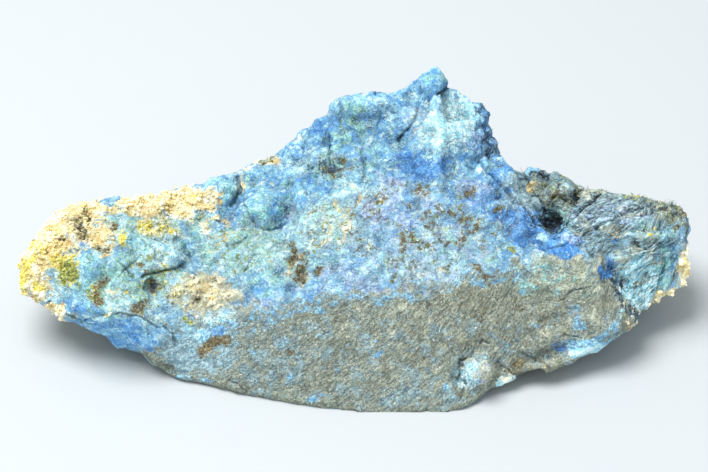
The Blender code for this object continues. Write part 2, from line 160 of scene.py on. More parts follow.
CREAM = (
    (34, 210, 70, 264, 1.1), (16, 254, 47, 308, 1.1), (38, 306, 64, 317, 0.9), (56, 196, 100, 240),
    (82, 216, 112, 246, 0.8), (120, 190, 150, 217, 0.9), (138, 184, 212, 218, 0.85),
    (126, 214, 186, 238, 0.42), (678, 250, 691, 288, 0.85), (664, 286, 690, 300, 0.55, -40),
    (650, 298, 668, 312, 0.45, -35), (168, 274, 240, 315, 0.36), (310, 194, 352, 228, 0.22),
    (200, 218, 218, 238, 0.4), (628, 303, 643, 340, 0.5), (222, 164, 252, 174, 0.5),
    (395, 258, 470, 280, 0.2), (252, 154, 282, 166, 0.4), (60, 244, 76, 264, 0.4),
    (96, 286, 135, 300, 0.2), (186, 208, 206, 226, 0.35), (290, 200, 360, 255, 0.24),
    (400, 225, 500, 285, 0.1), (470, 358, 492, 384, 0.12), (500, 378, 514, 388, 0.35),
)
YELLOW = (
    (19, 268, 28, 300, 0.9), (33, 276, 44, 293, 0.9), (30, 232, 46, 264, 0.6),
    (117, 236, 127, 249, 0.9), (133, 221, 154, 232, 0.7), (193, 194, 201, 201, 0.9),
    (268, 178, 274, 189, 0.8), (631, 194, 642, 201, 0.4), (158, 222, 180, 240, 0.5), (52, 250, 77, 276),
    (56, 268, 77, 290, 0.9), (83, 288, 92, 302, 0.6), (104, 304, 118, 316, 0.5),
    (123, 289, 131, 294, 0.6), (316, 196, 350, 222, 0.16), (641, 226, 662, 240, 0.32),
    (78, 246, 94, 252, 0.6), (164, 255, 174, 266, 0.5), (88, 278, 96, 288, 0.6),
    (676, 256, 690, 280, 0.15), (96, 236, 200, 320, 0.18),
)
OLIVE = (
    (54, 258, 77, 290, 0.78), (57, 254, 70, 268, 0.55), (506, 244, 514, 254, 0.8),
    # (145, 264, 186, 275) is the painted shadow under the ledge of the light blue lump
    (145, 264, 186, 275, 0.5), (181, 318, 198, 328, 0.8), (80, 284, 96, 302, 0.7),
    (186, 214, 200, 226, 0.35), (342, 158, 352, 170, 0.5), (336, 106, 362, 130, 0.25),
    (658, 202, 690, 222, 0.4), (560, 196, 575, 212, 0.15), (420, 225, 480, 245, 0.25),
    (290, 190, 360, 262, 0.22), (300, 225, 500, 288, 0.1), (330, 105, 400, 150, 0.18),
    (536, 170, 580, 205, 0.25), (120, 215, 186, 245, 0.3), (96, 236, 200, 320, 0.22),
    (190, 215, 290, 280, 0.24),
)
TAN = (
    (46, 238, 70, 262), (27, 258, 53, 271, 0.8), (60, 200, 100, 238, 0.7), (70, 211, 96, 233, 0.7),
    (108, 195, 147, 213, 0.35), (126, 200, 180, 219, 0.55), (158, 186, 208, 208, 0.6),
    (213, 212, 232, 222, 0.55, -25), (216, 195, 222, 204, 0.55), (219, 231, 232, 239, 0.5),
    (528, 178, 544, 192, 0.6), (603, 223, 626, 237, 0.55), (678, 251, 691, 284, 0.3),
    (652, 282, 690, 306, 0.3, -40), (90, 220, 122, 246, 0.35), (132, 220, 182, 236, 0.4),
    (236, 176, 246, 192, 0.5), (245, 155, 278, 166, 0.45), (168, 274, 240, 315, 0.22),
    (351, 178, 372, 216, 0.3, -58), (66, 243, 84, 255, 0.5), (92, 240, 114, 254, 0.5),
    (345, 190, 356, 222, 0.25), (406, 110, 420, 136, 0.3), (36, 214, 60, 240, 0.3),
    (300, 150, 350, 175, 0.08), (282, 246, 312, 288, 0.35), (640, 205, 690, 235, 0.08),
    (500, 360, 560, 378, 0.3), (36, 262, 50, 284, 0.4), (190, 215, 300, 280, 0.16),
)
BROWN = (
    (71, 213, 95, 232, 0.82), (86, 216, 94, 224), (52, 239, 64, 243, 0.9), (108, 227, 117, 236, 0.9),
    (97, 243, 108, 251, 0.8), (92, 273, 111, 284, 0.95), (88, 281, 101, 306, 0.95, 8),
    (144, 279, 164, 294, 1.0, -10), (130, 300, 147, 315, 0.9), (192, 290, 202, 310, 0.4),
    (285, 246, 300, 262, 0.9), (291, 260, 309, 284, 0.9), (322, 165, 335, 177, 0.9),
    (340, 159, 352, 169, 0.9), (304, 205, 313, 214, 0.8), (348, 212, 355, 219, 0.7),
    (371, 196, 390, 204, 0.7), (403, 201, 413, 207, 0.8), (371, 226, 422, 252, 0.42),
    (396, 232, 408, 246, 0.8), (408, 226, 422, 242, 0.8), (353, 245, 362, 253, 0.8),
    (370, 253, 378, 261, 0.7), (388, 273, 398, 281, 0.7), (403, 279, 410, 287, 0.7),
    (401, 186, 409, 192, 0.7), (414, 183, 429, 196, 0.75), (451, 187, 457, 192, 0.8),
    (464, 186, 479, 199, 0.7), (493, 205, 509, 214, 0.8), (422, 209, 432, 222, 0.75),
    (434, 205, 446, 211, 0.7), (455, 219, 465, 226, 0.7), (474, 224, 486, 237, 0.75),
    (492, 228, 499, 237, 0.8), (458, 233, 468, 241, 0.7), (445, 242, 454, 251, 0.7),
    (441, 261, 453, 272, 0.7), (466, 261, 484, 273, 0.85), (478, 267, 497, 280, 0.85),
    (317, 265, 327, 276, 0.8), (167, 257, 174, 265, 0.6), (140, 266, 151, 273, 0.7),
    (250, 222, 262, 232, 0.5), (360, 160, 420, 205, 0.2), (288, 348, 296, 354, 0.8),
    (198, 336, 228, 354, 1.2, -12), (494, 376, 504, 387, 0.8), (498, 364, 522, 379, 0.55),
    (522, 353, 557, 374, 0.4), (350, 403, 366, 415, 0.7), (622, 284, 647, 290, 0.7),
    (673, 205, 690, 220, 0.7), (673, 225, 687, 233, 0.9), (224, 167, 248, 172, 0.6),
    (256, 157, 274, 164, 0.6), (524, 172, 548, 177, 0.8), (530, 178, 543, 185, 0.5),
    (604, 224, 616, 231, 0.5), (190, 286, 212, 296, 0.3), (240, 250, 258, 274, 0.3),
    (170, 226, 182, 234, 0.4), (136, 222, 156, 230, 0.4), (640, 200, 690, 222, 0.3),
    (300, 152, 358, 182, 0.48), (536, 172, 580, 212, 0.45), (280, 225, 350, 275, 0.3),
    (66, 208, 98, 236, 0.7), (240, 296, 620, 400, 0.2), (335, 180, 510, 292, 0.4),
    (420, 290, 600, 330, 0.26), (300, 300, 420, 340, 0.2),
)
BEIGE = (
    (168, 274, 241, 315), (517, 252, 616, 292, 0.6), (343, 284, 362, 299, 0.7),
    (345, 284, 500, 298, 0.4), (560, 190, 640, 210, 0.35), (614, 247, 664, 311, 0.9),
    (520, 290, 640, 345, 0.4), (310, 196, 350, 228, 0.4), (400, 320, 520, 380, 0.25),
    (660, 240, 690, 300, 0.3), (540, 210, 600, 240, 0.3), (240, 300, 300, 312, 0.4),
    (536, 170, 580, 212, 0.15), (463, 351, 496, 389, 0.8), (240, 320, 620, 400, 0.2),
    (300, 300, 560, 345, 0.26), (520, 296, 610, 340, 0.45), (498, 376, 516, 390, 0.6),
)
SLATE = (
    (160, 322, 236, 380, 0.85), (236, 315, 300, 350, 0.45), (500, 160, 545, 232, 0.9, 35),
    (536, 168, 700, 262, 0.95), (614, 247, 664, 311, 0.6), (400, 370, 470, 412, 0.4),
    (300, 370, 400, 412, 0.3), (560, 320, 640, 350, 0.45), (520, 300, 560, 330, 0.3),
    (520, 250, 615, 292, 0.5), (440, 340, 500, 400, 0.5), (230, 300, 460, 345, 0.3),
    (482, 110, 502, 164, 0.4, 16), (655, 239, 690, 300, 0.5), (536, 168, 582, 214, 1.1),
    (240, 310, 620, 405, 0.36), (228, 330, 330, 400, 0.5), (330, 380, 470, 412, 0.5),
    (600, 300, 640, 345, 0.4),
)
# Painted shade, laid out like the mineral patches: navy, mostly in the pit, crevices, hollows and the
# brown hole, and on the serrated side that faces away from the lamp
PAINTED_SHADE = (
    (474, 100, 489, 122, 0.5, 30), (482, 120, 497, 164, 0.42, 6), (326, 138, 333, 152, 0.6, 12),
    (574, 191, 581, 200), (542, 213, 563, 233, 1.3), (538, 196, 550, 226, 0.75, -10),
    (525, 200, 540, 226, 0.45, 30), (361, 150, 366, 180, 0.45), (614, 276, 621, 292, 0.9),
    (637, 312, 654, 320, 0.9), (246, 179, 255, 186, 0.6), (652, 300, 660, 308, 0.5),
    (658, 203, 690, 218, 0.45), (644, 208, 660, 216, 0.45), (498, 150, 506, 180, 0.5, 30),
    (86, 216, 92, 223, 0.5), (458, 345, 476, 400, 0.25, 10), (616, 298, 645, 318, 0.4),
    (196, 316, 204, 326, 0.5), (568, 186, 590, 204, 0.4), (582, 176, 600, 186, 0.35),
    (280, 196, 286, 224, 0.5), (305, 155, 355, 180, 0.5), (478, 100, 500, 160, 0.25, 12),
    (66, 210, 96, 234, 0.35), (146, 281, 161, 292, 0.6, -10),
)

# The rock has no patches, because it covers all that is below the brow; dark is painted shade, laid out
# like a mineral
PATCHES = {
    "rock": (), "slate": SLATE, "beige": BEIGE, "sky": SKY, "deep": DEEP, "lavender": LAVENDER,
    "teal": TEAL, "pale": PALE, "cream": CREAM, "tan": TAN, "yellow": YELLOW, "olive": OLIVE,
    "brown": BROWN, "dark": PAINTED_SHADE,
}

# Strips of mineral: pixels along the line, half width in pixels and the share covered
STRIPS = {
    "cream": (
        (((22, 302), (24, 274), (36, 248), (56, 226), (88, 207)), 13, 1.0),
        (((130, 204), (170, 201), (206, 199)), 12, 1.0),
        (((690, 250), (688, 270), (680, 286), (664, 300), (650, 312)), 4.5, 1.0),
        (((38, 312), (62, 314)), 4, 0.8), (((622, 300), (634, 318), (630, 338)), 4, 0.5),
    ),
    "tan": (
        (((30, 262), (44, 250), (60, 236), (84, 216), (128, 206), (172, 206)), 8, 0.55),
        (((690, 252), (688, 272), (678, 288), (658, 304)), 3, 0.25),
    ),
    "yellow": ((((20, 298), (21, 276), (30, 256)), 4, 0.7), (((687, 256), (684, 280)), 3, 0.15)),
    # Painted shade: dark lines in the crevices of the shelf, along the grey slab's right edge and on the
    # shaded serrated side
    "dark": (
        (((562, 232), (578, 214), (594, 200)), 2.5, 0.6), (((528, 173), (548, 174)), 2.5, 0.8),
        (((584, 205), (600, 194)), 1.8, 0.6), (((612, 284), (624, 302), (638, 314), (650, 316)), 3, 0.6),
        (((484, 112), (492, 130), (496, 150), (502, 164)), 5, 0.3),
    ),
    "beige": (
        (((572, 190), (612, 192), (640, 197), (664, 207), (688, 214)), 5, 0.5),
        (((620, 212), (650, 214), (676, 218)), 4, 0.4),
    ),
    "olive": ((((560, 186), (600, 190), (640, 199), (688, 212)), 6, 0.24),),
    "deep": ((((498, 214), (520, 232), (545, 246), (574, 254)), 8, 0.85),),
    "pale": ((((566, 350), (616, 346)), 4, 0.8), (((500, 386), (514, 382)), 4, 0.8)),
    "lavender": (
        (((250, 302), (300, 291), (340, 282), (389, 285), (420, 279), (450, 272), (478, 266)), 7, 0.45),
    ),
    "sky": (
        (((236, 322), (284, 312), (342, 296), (390, 300), (422, 294), (474, 282), (520, 274)), 7, 0.42),
        (((166, 330), (200, 334), (236, 326)), 6, 0.5), (((566, 347), (616, 344)), 6, 1.0),
        (((664, 240), (676, 270)), 6, 0.6),
    ),
}

# Cracks, and dark lines of shade under knobs and ledges: pixels along the line, half width in pixels,
# depth in millimetres and how dark the painted shade in them is
CRACKS = (
    (((66, 314), (82, 321), (100, 317), (120, 313), (142, 317), (158, 328)), 1.0, 0.16, 0.45),
    (((398, 140), (403, 136), (409, 130)), 1.4, 0.30, 0.72),
    (((409, 130), (415, 120), (420, 104), (421, 92)), 1.7, 0.26, 0.25),
    # The shadow that the peak knob casts, painted as a dark line
    (((450, 84), (444, 90), (437, 95)), 1.4, 0.30, 0.72),
    (((478, 161), (500, 184), (522, 208), (538, 224)), 1.6, 0.30, 0.58),
    (((237, 176), (241, 190), (237, 197), (233, 205)), 1.9, 0.34, 0.50),
    (((186, 246), (186, 262), (174, 269), (155, 274), (143, 277)), 1.7, 0.30, 0.50),
    (((120, 262), (126, 270), (133, 277)), 1.1, 0.19, 0.58),
    (((118, 277), (126, 270), (134, 262), (140, 255)), 1.1, 0.17, 0.36),
    (((164, 282), (166, 292), (168, 302)), 0.9, 0.15, 0.50),
    (((163, 326), (172, 334), (176, 345)), 1.2, 0.22, 0.58),
    (((254, 255), (249, 262), (243, 272)), 1.0, 0.17, 0.43),
    (((234, 246), (240, 240), (246, 235)), 1.0, 0.17, 0.43),
    (((363, 151), (363, 165), (362, 179)), 1.2, 0.19, 0.50),
    (((328, 139), (329, 151), (329, 163)), 1.4, 0.26, 0.58),
    (((369, 180), (362, 193), (355, 205), (345, 215)), 1.1, 0.11, 0.14),
    (((634, 243), (642, 247), (654, 247)), 1.1, 0.22, 0.58),
    (((654, 251), (662, 248), (668, 242)), 0.9, 0.15, 0.43),
    (((662, 254), (666, 262), (660, 276), (652, 292)), 1.4, 0.26, 0.50),
    (((623, 289), (634, 287), (646, 285)), 1.2, 0.19, 0.43),
    (((586, 245), (604, 241), (620, 237)), 1.2, 0.22, 0.36),
    (((489, 343), (481, 340), (477, 348), (471, 356), (461, 363), (458, 381)), 1.4, 0.20, 0.30),
    (((462, 386), (463, 399)), 0.9, 0.15, 0.43),
    (((560, 300), (575, 290), (590, 288)), 0.8, 0.11, 0.50),
    (((564, 333), (572, 336), (582, 338)), 0.9, 0.14, 0.50),
    (((229, 380), (238, 386), (247, 392)), 1.1, 0.15, 0.50),
    (((499, 363), (510, 371), (521, 378)), 1.2, 0.22, 0.43),
    (((523, 353), (540, 362), (556, 373)), 1.1, 0.17, 0.36),
    (((603, 262), (607, 273), (614, 282)), 1.6, 0.26, 0.22),
    (((612, 285), (618, 293), (624, 302), (636, 312)), 1.2, 0.22, 0.43),
    (((596, 228), (575, 238), (562, 247), (548, 247)), 1.2, 0.22, 0.43),
    (((240, 186), (244, 205), (256, 226), (270, 230), (285, 224)), 1.4, 0.22, 0.29),
    (((150, 197), (160, 206), (172, 205)), 0.9, 0.15, 0.29),
    (((104, 244), (112, 238), (110, 230)), 0.9, 0.15, 0.43),
    (((60, 243), (50, 244), (46, 254)), 0.9, 0.19, 0.43),
    (((84, 206), (88, 220), (95, 226)), 1.1, 0.19, 0.36),
    (((40, 293), (48, 301), (55, 308)), 0.8, 0.11, 0.43),
    (((300, 180), (303, 190), (310, 198)), 0.9, 0.15, 0.36),
    (((298, 128), (303, 140), (301, 152)), 0.9, 0.17, 0.43),
    (((562, 230), (580, 212), (600, 194)), 1.6, 0.34, 0.36),
    (((576, 240), (600, 226), (628, 212), (650, 206)), 1.4, 0.26, 0.29),
    (((600, 212), (620, 203), (640, 198)), 1.2, 0.19, 0.22),
    (((640, 216), (660, 208), (676, 204)), 1.4, 0.26, 0.36),
    (((548, 206), (556, 196), (560, 182)), 1.2, 0.22, 0.36),
    (((572, 196), (590, 188), (612, 190)), 1.2, 0.22, 0.29),
    (((520, 168), (528, 184), (540, 200), (546, 214)), 1.4, 0.26, 0.36),
    (((626, 262), (640, 256), (654, 250)), 1.0, 0.15, 0.22),
    (((622, 278), (640, 268), (656, 262)), 1.0, 0.15, 0.22),
    (((628, 300), (642, 292), (656, 284)), 1.0, 0.15, 0.22),
    (((344, 100), (341, 112), (344, 122)), 0.8, 0.11, 0.29),
    (((386, 104), (380, 116), (376, 124)), 0.8, 0.11, 0.29),
)

# Pits and swells: left, top, right and bottom pixel, then the height in millimetres and a turn
PITS = (
    (144, 278, 165, 295, -0.28, -10), (73, 213, 95, 232, -0.35), (86, 215, 94, 225, -0.3),
    (98, 289, 93, 300, -0.2), (542, 212, 563, 234, -0.5), (573, 190, 582, 201, -0.45),
    (244, 178, 256, 187, -0.3), (200, 338, 226, 353, -0.25, -12), (92, 273, 111, 285, -0.2),
    (130, 300, 147, 315, -0.2), (340, 158, 352, 170, -0.25), (322, 164, 335, 178, -0.2),
    (494, 376, 504, 388, -0.25), (463, 351, 496, 389, 0.25), (72, 246, 116, 275, 0.3),
    (135, 241, 184, 268, 0.3), (146, 295, 184, 325, 0.3), (204, 174, 238, 206, 0.35),
    (241, 186, 286, 230, 0.35), (285, 247, 309, 285, -0.15), (559, 234, 582, 247, 0.35),
    (488, 162, 528, 190, 0.3), (516, 188, 543, 227, 0.3), (541, 173, 575, 198, 0.3),
    (590, 196, 640, 215, 0.25, -12), (535, 234, 546, 242, 0.2), (56, 221, 68, 237, 0.25),
    (36, 218, 56, 258, 0.15), (97, 198, 110, 217, 0.25), (418, 72, 452, 98, 0.4),
    (400, 88, 416, 102, -0.35), (322, 88, 402, 118, 0.85), (466, 96, 498, 128, 0.55),
    (168, 274, 240, 315, -0.12), (614, 248, 663, 310, -0.15),
)

# Where the break is fibrous, where the blue is nodular and which places are smooth
FIBROUS = (
    (540, 162, 704, 262, 1.1), (598, 232, 700, 328, 1.1), (470, 95, 505, 170, 0.8, 8),
    (485, 160, 548, 232, 0.6, 35), (205, 172, 240, 208, 0.35), (79, 314, 160, 350, 0.45, 8),
)
NODULAR = (
    (20, 190, 310, 330), (280, 90, 420, 180, 0.6), (300, 180, 540, 290, 0.45),
)
CALM = (
    (60, 312, 168, 352, 1.0, 8), (408, 96, 482, 156, 0.7, -38), (392, 146, 452, 182, 0.5),
)

# Paler and darker places, partly painted light and shade: faces the lamp leaves in shade, such as the
# underside facet and the right end, are painted paler, and the pit and the serrated side darker; the
# rest is the stone's own tone. Left, top, right and bottom pixel, then the change and a turn
LIGHT_SHADE_AND_TONE = (
    (79, 314, 160, 350, 1.6, 8), (612, 248, 664, 312, 1.5), (655, 236, 692, 312, 1.5),
    (494, 374, 518, 394, 1.4), (560, 338, 622, 356, 0.8), (36, 290, 80, 322, 0.4),
    (540, 170, 578, 212, -1.2), (466, 96, 500, 164, -0.7, 12), (392, 144, 452, 182, -0.15),
    (411, 100, 480, 152, -0.25, -38), (160, 270, 240, 318, 0.3), (364, 165, 410, 215, 0.35),
    (625, 218, 684, 240, 0.4), (456, 348, 500, 392, -0.35), (160, 326, 238, 378, 1.4),
    (204, 172, 240, 208, -0.9), (300, 100, 400, 150, -0.35), (300, 150, 356, 180, -0.35),
    (236, 186, 290, 232, -0.3), (488, 160, 545, 228, -0.3), (190, 220, 290, 274, -0.3),
    (500, 290, 640, 350, 0.3), (330, 360, 430, 410, 0.2), (543, 214, 562, 232, -1.2),
    (40, 212, 64, 238, 0.4), (286, 246, 310, 286, -0.5), (62, 296, 112, 318, 0.35),
    (590, 196, 645, 240, -0.3),
)

# How steeply the fibres climb to the right, in degrees, at some columns, and more on the end face
FIBRE_TURNS = (
    (150, 32), (400, 42), (520, 55), (580, 40), (640, 38), (690, 50),
)
END_FACE_TURN = 20

# How far in and out a patch fades, in its own half widths, and how thinly a mineral or the painted shade
# (dark) is scattered
RIM = (0.5, 1.4)
BROAD_RIM = (0.6, 1.35)
RIMS = {"brown": (0.2, 1.7), "dark": (0.2, 1.5), "sky": (0.2, 1.6), "yellow": (0.3, 1.5)}
THINNED = {"brown": 0.86, "dark": 0.9, "sky": 0.85}

# The minerals on the hidden sides, with scattered patches of painted shade (dark), on the two ends, and
# around the brown specks
HIDDEN_SHARES = {
    "slate": 0.7, "beige": 0.5, "deep": 0.8, "teal": 0.6, "lavender": 0.5, "pale": 0.8,
    # The dark share here is painted shade, scattered in patches
    "cream": 0.2, "yellow": 0.12, "olive": 0.2, "tan": 0.2, "brown": 0.45, "dark": 0.3,
}
END_SHARES = {"cream": 1.0, "yellow": 0.30, "tan": 0.45, "brown": 0.10}
HALO = {"olive": 0.62, "cream": 0.34}
PUFFS = 0.75
MOST_ROCK = 1.12

# Soft noise on the stone: size of its features in millimetres, octaves and seed
CLOUDS = {
    "tongues": (3.2, 3, 95), "far side": (7.0, 3, 3), "puffs": (1.6, 2, 91),
    "clumps": (1.5, 2, 90), "hidden fibre": (6.0, 2, 40), "bundles": (0.75, 2, 50),
    "blades": (1.3, 2, 51), "streaks": (0.42, 2, 52), "lumps": (2.2, 3, 60),
    "grain": (0.9, 3, 61), "broken": (0.6, 2, 70),
}
HIDDEN_PATCH = (4.0, 2)
CELLS = {"crumbs": (1.05, 7), "nodules": (1.7, 1), "beads": (0.75, 2)}

# How many times longer the fibrous noise is along the fibres, across them and inwards
STRETCHED = (
    ("bundles", (6.0, 1.0, 1.6)), ("blades", (7.0, 1.0, 1.4)), ("streaks", (9.0, 1.0, 1.5)),
)

# How rims wander: reach in pixels, size in millimetres and seed
SHAKES = {
    "patches": ((8.0, 1.8, 1), (5.0, 0.6, 2)), "cracks": ((2.2, 0.9, 4), (1.2, 0.4, 6)),
    "pits": ((1.2, 1.2, 5),),
}
TONGUES = 11.0

# Soft steps from 0 to 1: where each begins and where it ends
STEPS = {
    "in view": (-0.30, -0.02), "below the brow": (-10.0, 10.0), "underside": (0.35, 0.75),
    "left end": (20.5, 25.0), "right end": (24.5, 28.5), "hidden patch": (-0.1, 0.3),
    "strip": (0.6, 1.3), "puffs": (-0.05, 0.25), "clumps": (-0.15, 0.35),
    "far rock": (-0.15, 0.25), "groove": (0.2, 1.4), "crack shade": (0.3, 1.2),
    "pit": (0.35, 1.15), "shade": (0.5, 1.3), "off the floor": (0.02, 0.8),
    "sheltered": (-0.7, 0.0), "end columns": (594, 618), "end rows": (236, 262),
}

# How the skin is made: lengths in millimetres, shares of a smoothing pass, and numbers of passes
MERGE_DISTANCE = 0.001
BASE_HEIGHT = 0.06
DEEPEST_HOLLOW = 0.16
SMOOTHED = 0.55
SWELLED = 0.53
EVENING_PASSES = 14
TURNED_AWAY = 0.2
CRACK_REACH = 4.0
TONE_LIMITS = (-1.2, 1.6)

# Grains and splinters: how much crust or fibre they need, how high they start, how deep they sit in
# widths, the range of their tones and the seeds of their random draws
LOT = 1200
GRAIN_CRUST = 0.35
GRAIN_HEIGHT = 0.6
GRAIN_LIFT = 0.12
GRAIN_TONES = 0.4
GRAIN_SEED = 5
GRAIN_SQUASH = (0.7, 1.2)
GRAIN_DENTS = 0.07
MOSTLY_SMALL = 2.2
SPLINTER_FIBRE = 0.3
SPLINTER_HEIGHT = 0.8
SPLINTER_LIFT = 0.10
SPLINTER_TONES = 0.5
SPLINTER_SEED = 8
SPLINTER_WIDTHS = (0.6, 1.5)
SPLINTER_TILTS = (-9, 3)
SPLINTER_SPREAD = 9
SPLINTER_TIP = 0.16

# For each mineral, and for the painted shade named dark: size of its flecks and of its broken edge in
# millimetres, and edge softness
EDGES = {
    "rock": (0.24, 1.2, 0.20), "slate": (0.30, 1.2, 0.20), "beige": (0.36, 1.1, 0.20),
    "sky": (0.36, 0.7, 0.16), "deep": (0.50, 1.1, 0.18), "lavender": (0.50, 1.1, 0.22),
    "teal": (0.50, 1.0, 0.20), "pale": (0.45, 0.8, 0.18), "cream": (0.60, 1.0, 0.12),
    "tan": (0.55, 0.9, 0.18), "yellow": (0.40, 0.7, 0.12), "olive": (0.30, 0.5, 0.12),
    "brown": (0.20, 0.38, 0.17), "dark": (0.30, 0.6, 0.12),
}
STREAKED = ("rock", "slate", "beige")
RAGGEDNESS = 3.2

# Spots in the finish: size in millimetres, detail, roughness, shift and distortion of their noise,
# then the values between which they rise from 0 to 1
SPOTS = {
    "flecks": ((0.55, 4.0, 0.62), (0.40, 0.60)),
    "clear": ((1.4, 5.0, 0.66, 3.1, 0.6), (0.52, 0.62)),
    "bleached": ((1.0, 5.0, 0.66, 7.7, 0.4), (0.54, 0.64)),
    "pinholes": ((0.30, 4.0, 0.7, 61.3), (0.59, 0.63)),
    "powder": ((0.24, 3.0, 0.7, 77.1), (0.62, 0.66)),
    "painted_glints": ((0.15, 2.0, 0.6, 93.7), (0.70, 0.73)),
    "loose": ((1.3, 4.0, 0.65, 23.0), (0.44, 0.56)),
    "bands": ((0.46, 2.0, 0.6, 31.0), (0.40, 0.60)),
    "glints": ((0.14, 1.0, 0.5, 8.8), (0.70, 0.78)),
}
SPECKLE = (0.16, 3.0, 0.8, 4.3)
STREAKS = (0.17, 3.0, 0.75, 1.9)
FINE_BUMPS = (0.30, 4.0, 0.78, 2.2)
RIBS = (0.20, 4.0, 0.75, 6.4)
STREAK_STRETCH = (0.3, 1.0, 0.9)

# Crumbs in the finish: size in millimetres and softness of their edges
SMALL_CRUMBS = (0.7, 0.16)
BIG_CRUMBS = (1.7, 0.08)

# For each finish: height of its bumps in millimetres and roughness
FINISHES = {
    "aerinite_stone_finish": (0.34, 0.86), "crust_grain_finish": (0.06, 0.70),
    "splinter_finish": (0.08, 0.78),
}

# How strongly each part of the finish shows. The pinhole, gap and hollow shades are painted shade, the
# small white glints painted highlights, the powder partly painted glints, and the tone partly painted
# light
PINHOLE_SHADE = 0.45
POWDER_AND_GLINTS = 0.5
PAINTED_GLINTS = 0.15
ROCK_PAINTED_GLINTS = 0.7
CONTRAST = 0.40
ROUGH_CONTRAST = 0.48
BRIGHTNESS = 1.04
GAP_SHADE = 0.30
GAP_DEPTH = 0.22
HOLLOW_SHADE = 0.26
FIBRE_HOLLOW_SHADE = 0.16
BANDS = 0.34
PALER = 0.25
GLINTS = 0.35

# The stage, in metres
FLOOR_ROUGHNESS = 0.75
BACKDROP = (0.93, 0.97, 1.0, 1)
LAMP_SIZE = 0.24
LAMP_PLACE = (-0.11, -0.03, 0.36)
LAMP_AIM = (0, 0, 0.01)
NEAREST = 0.01
FARTHEST = 10


def tone(name, description, red, green, blue):
    """A colour that a user may change, from its values of 0 to 255 in the photograph's own scale."""
    values = []
    for value in (red, green, blue):
        share = value / 255
        values.append(share / 12.92 if share <= 0.04045 else ((share + 0.055) / 1.055) ** 2.4)
    return FloatVectorProperty(
        name=name, description=description, default=values, size=3, min=0, max=1, subtype="COLOR")


def length(name, description, size, smallest, largest):
    """A length that a user may change, from its values in millimetres."""
    return FloatProperty(
        name=name, description=description, default=size * MM, min=smallest * MM,
        max=largest * MM, precision=5, unit="LENGTH")


class SkinSettings(bpy.types.PropertyGroup):
    """Sizes of the stone's skin."""

    cell: length("Cell", "Size of the skin's faces", 0.255, 0.15, 1)
    smoothing: IntProperty(
        name="Smoothing", description="Passes that take the solid's flat faces away",
        default=7, min=0, max=30)
    lumps: length("Lumps", "Height of the broad unevenness", 0.16, 0, 1)
    grain: length("Grain", "Height of the fine earthy grain", 0.12, 0, 1)
    crumbs: length("Crumbs", "Height of the small crumbs of the blue mineral", 0.15, 0, 1)
    nodules: length("Nodules", "Height of the blue nodules", 0.20, 0, 1)
    crust: length("Crust", "Height of the granular crust", 0.26, 0, 1)
    fibres: length("Fibres", "Height of the fibre bundles", 0.24, 0, 1)


class MineralColours(bpy.types.PropertyGroup):
    """Colours of the minerals on the stone, and of the painted shade in its crevices."""

    sky: tone("Sky Blue", "Main blue of the mineral", 102, 158, 200)
    sky_light: tone("Light Sky Blue", "Paler flecks in the main blue", 152, 202, 220)
    deep: tone("Deep Blue", "Dense blue mineral", 62, 122, 188)
    deep_light: tone("Clear Blue", "Lighter flecks in the deep blue", 94, 156, 214)
    teal: tone("Teal", "Greenish blue mineral", 108, 170, 176)
    teal_light: tone("Light Teal", "Paler flecks in the teal", 162, 214, 206)
    lavender: tone("Lavender", "Violet-tinged blue", 136, 166, 212)
    lavender_light: tone("Light Lavender", "Paler violet-tinged blue", 188, 210, 234)
    pale: tone("Ice Blue", "Pale powdery mineral", 154, 212, 230)
    pale_light: tone("White", "Whitest powder", 210, 240, 242)
    cream: tone("Cream", "Cream crust", 246, 236, 194)
    cream_light: tone("Light Cream", "Whitest crust", 252, 247, 224)
    yellow: tone("Yellow", "Yellow crust", 226, 206, 84)
    yellow_light: tone("Light Yellow", "Pale yellow crust", 240, 228, 132)
    olive: tone("Olive", "Green-brown crust", 104, 116, 58)
    olive_light: tone("Yellow-Green", "Yellow-green crust", 172, 182, 96)
    tan: tone("Ochre", "Ochre grains", 213, 187, 124)
    tan_light: tone("Light Ochre", "Paler ochre grains", 240, 224, 166)
    brown: tone("Brown", "Rusty brown specks", 84, 74, 52)
    brown_light: tone("Light Brown", "Paler rust", 132, 122, 88)
    rock: tone("Rock", "Grey-brown rock", 114, 120, 106)
    rock_light: tone("Light Rock", "Paler rock", 150, 158, 142)
    slate: tone("Slate Blue", "Blue-grey rock", 104, 132, 142)
    slate_light: tone("Light Slate Blue", "Paler blue-grey rock", 146, 174, 180)
    beige: tone("Beige", "Pale rock", 158, 162, 140)
    beige_light: tone("Light Beige", "Palest rock", 194, 198, 176)
    dark: tone("Navy", "Shade in the crevices", 32, 46, 62)
    dark_light: tone("Lighter Navy", "Edges of the shade", 66, 92, 112)


class GrainSettings(bpy.types.PropertyGroup):
    """Sizes of the loose grains on the crusts."""

    count: IntProperty(
        name="Count", description="How many grains stand on the crusts",
        default=3000, min=0, max=6000)
    smallest: length("Smallest", "Width of the smallest grain", 0.16, 0.05, 1)
    largest: length("Largest", "Width of the largest grain", 0.50, 0.1, 2)


class SplinterSettings(bpy.types.PropertyGroup):
    """Sizes of the splinters on the fibrous breaks."""

    count: IntProperty(
        name="Count", description="How many splinters lie on the breaks",
        default=1300, min=0, max=6000)
    shortest: length("Shortest", "Length of the shortest splinter", 0.5, 0.2, 5)
    longest: length("Longest", "Length of the longest splinter", 1.7, 0.5, 8)
    width: length("Width", "Width of a splinter", 0.12, 0.05, 1)


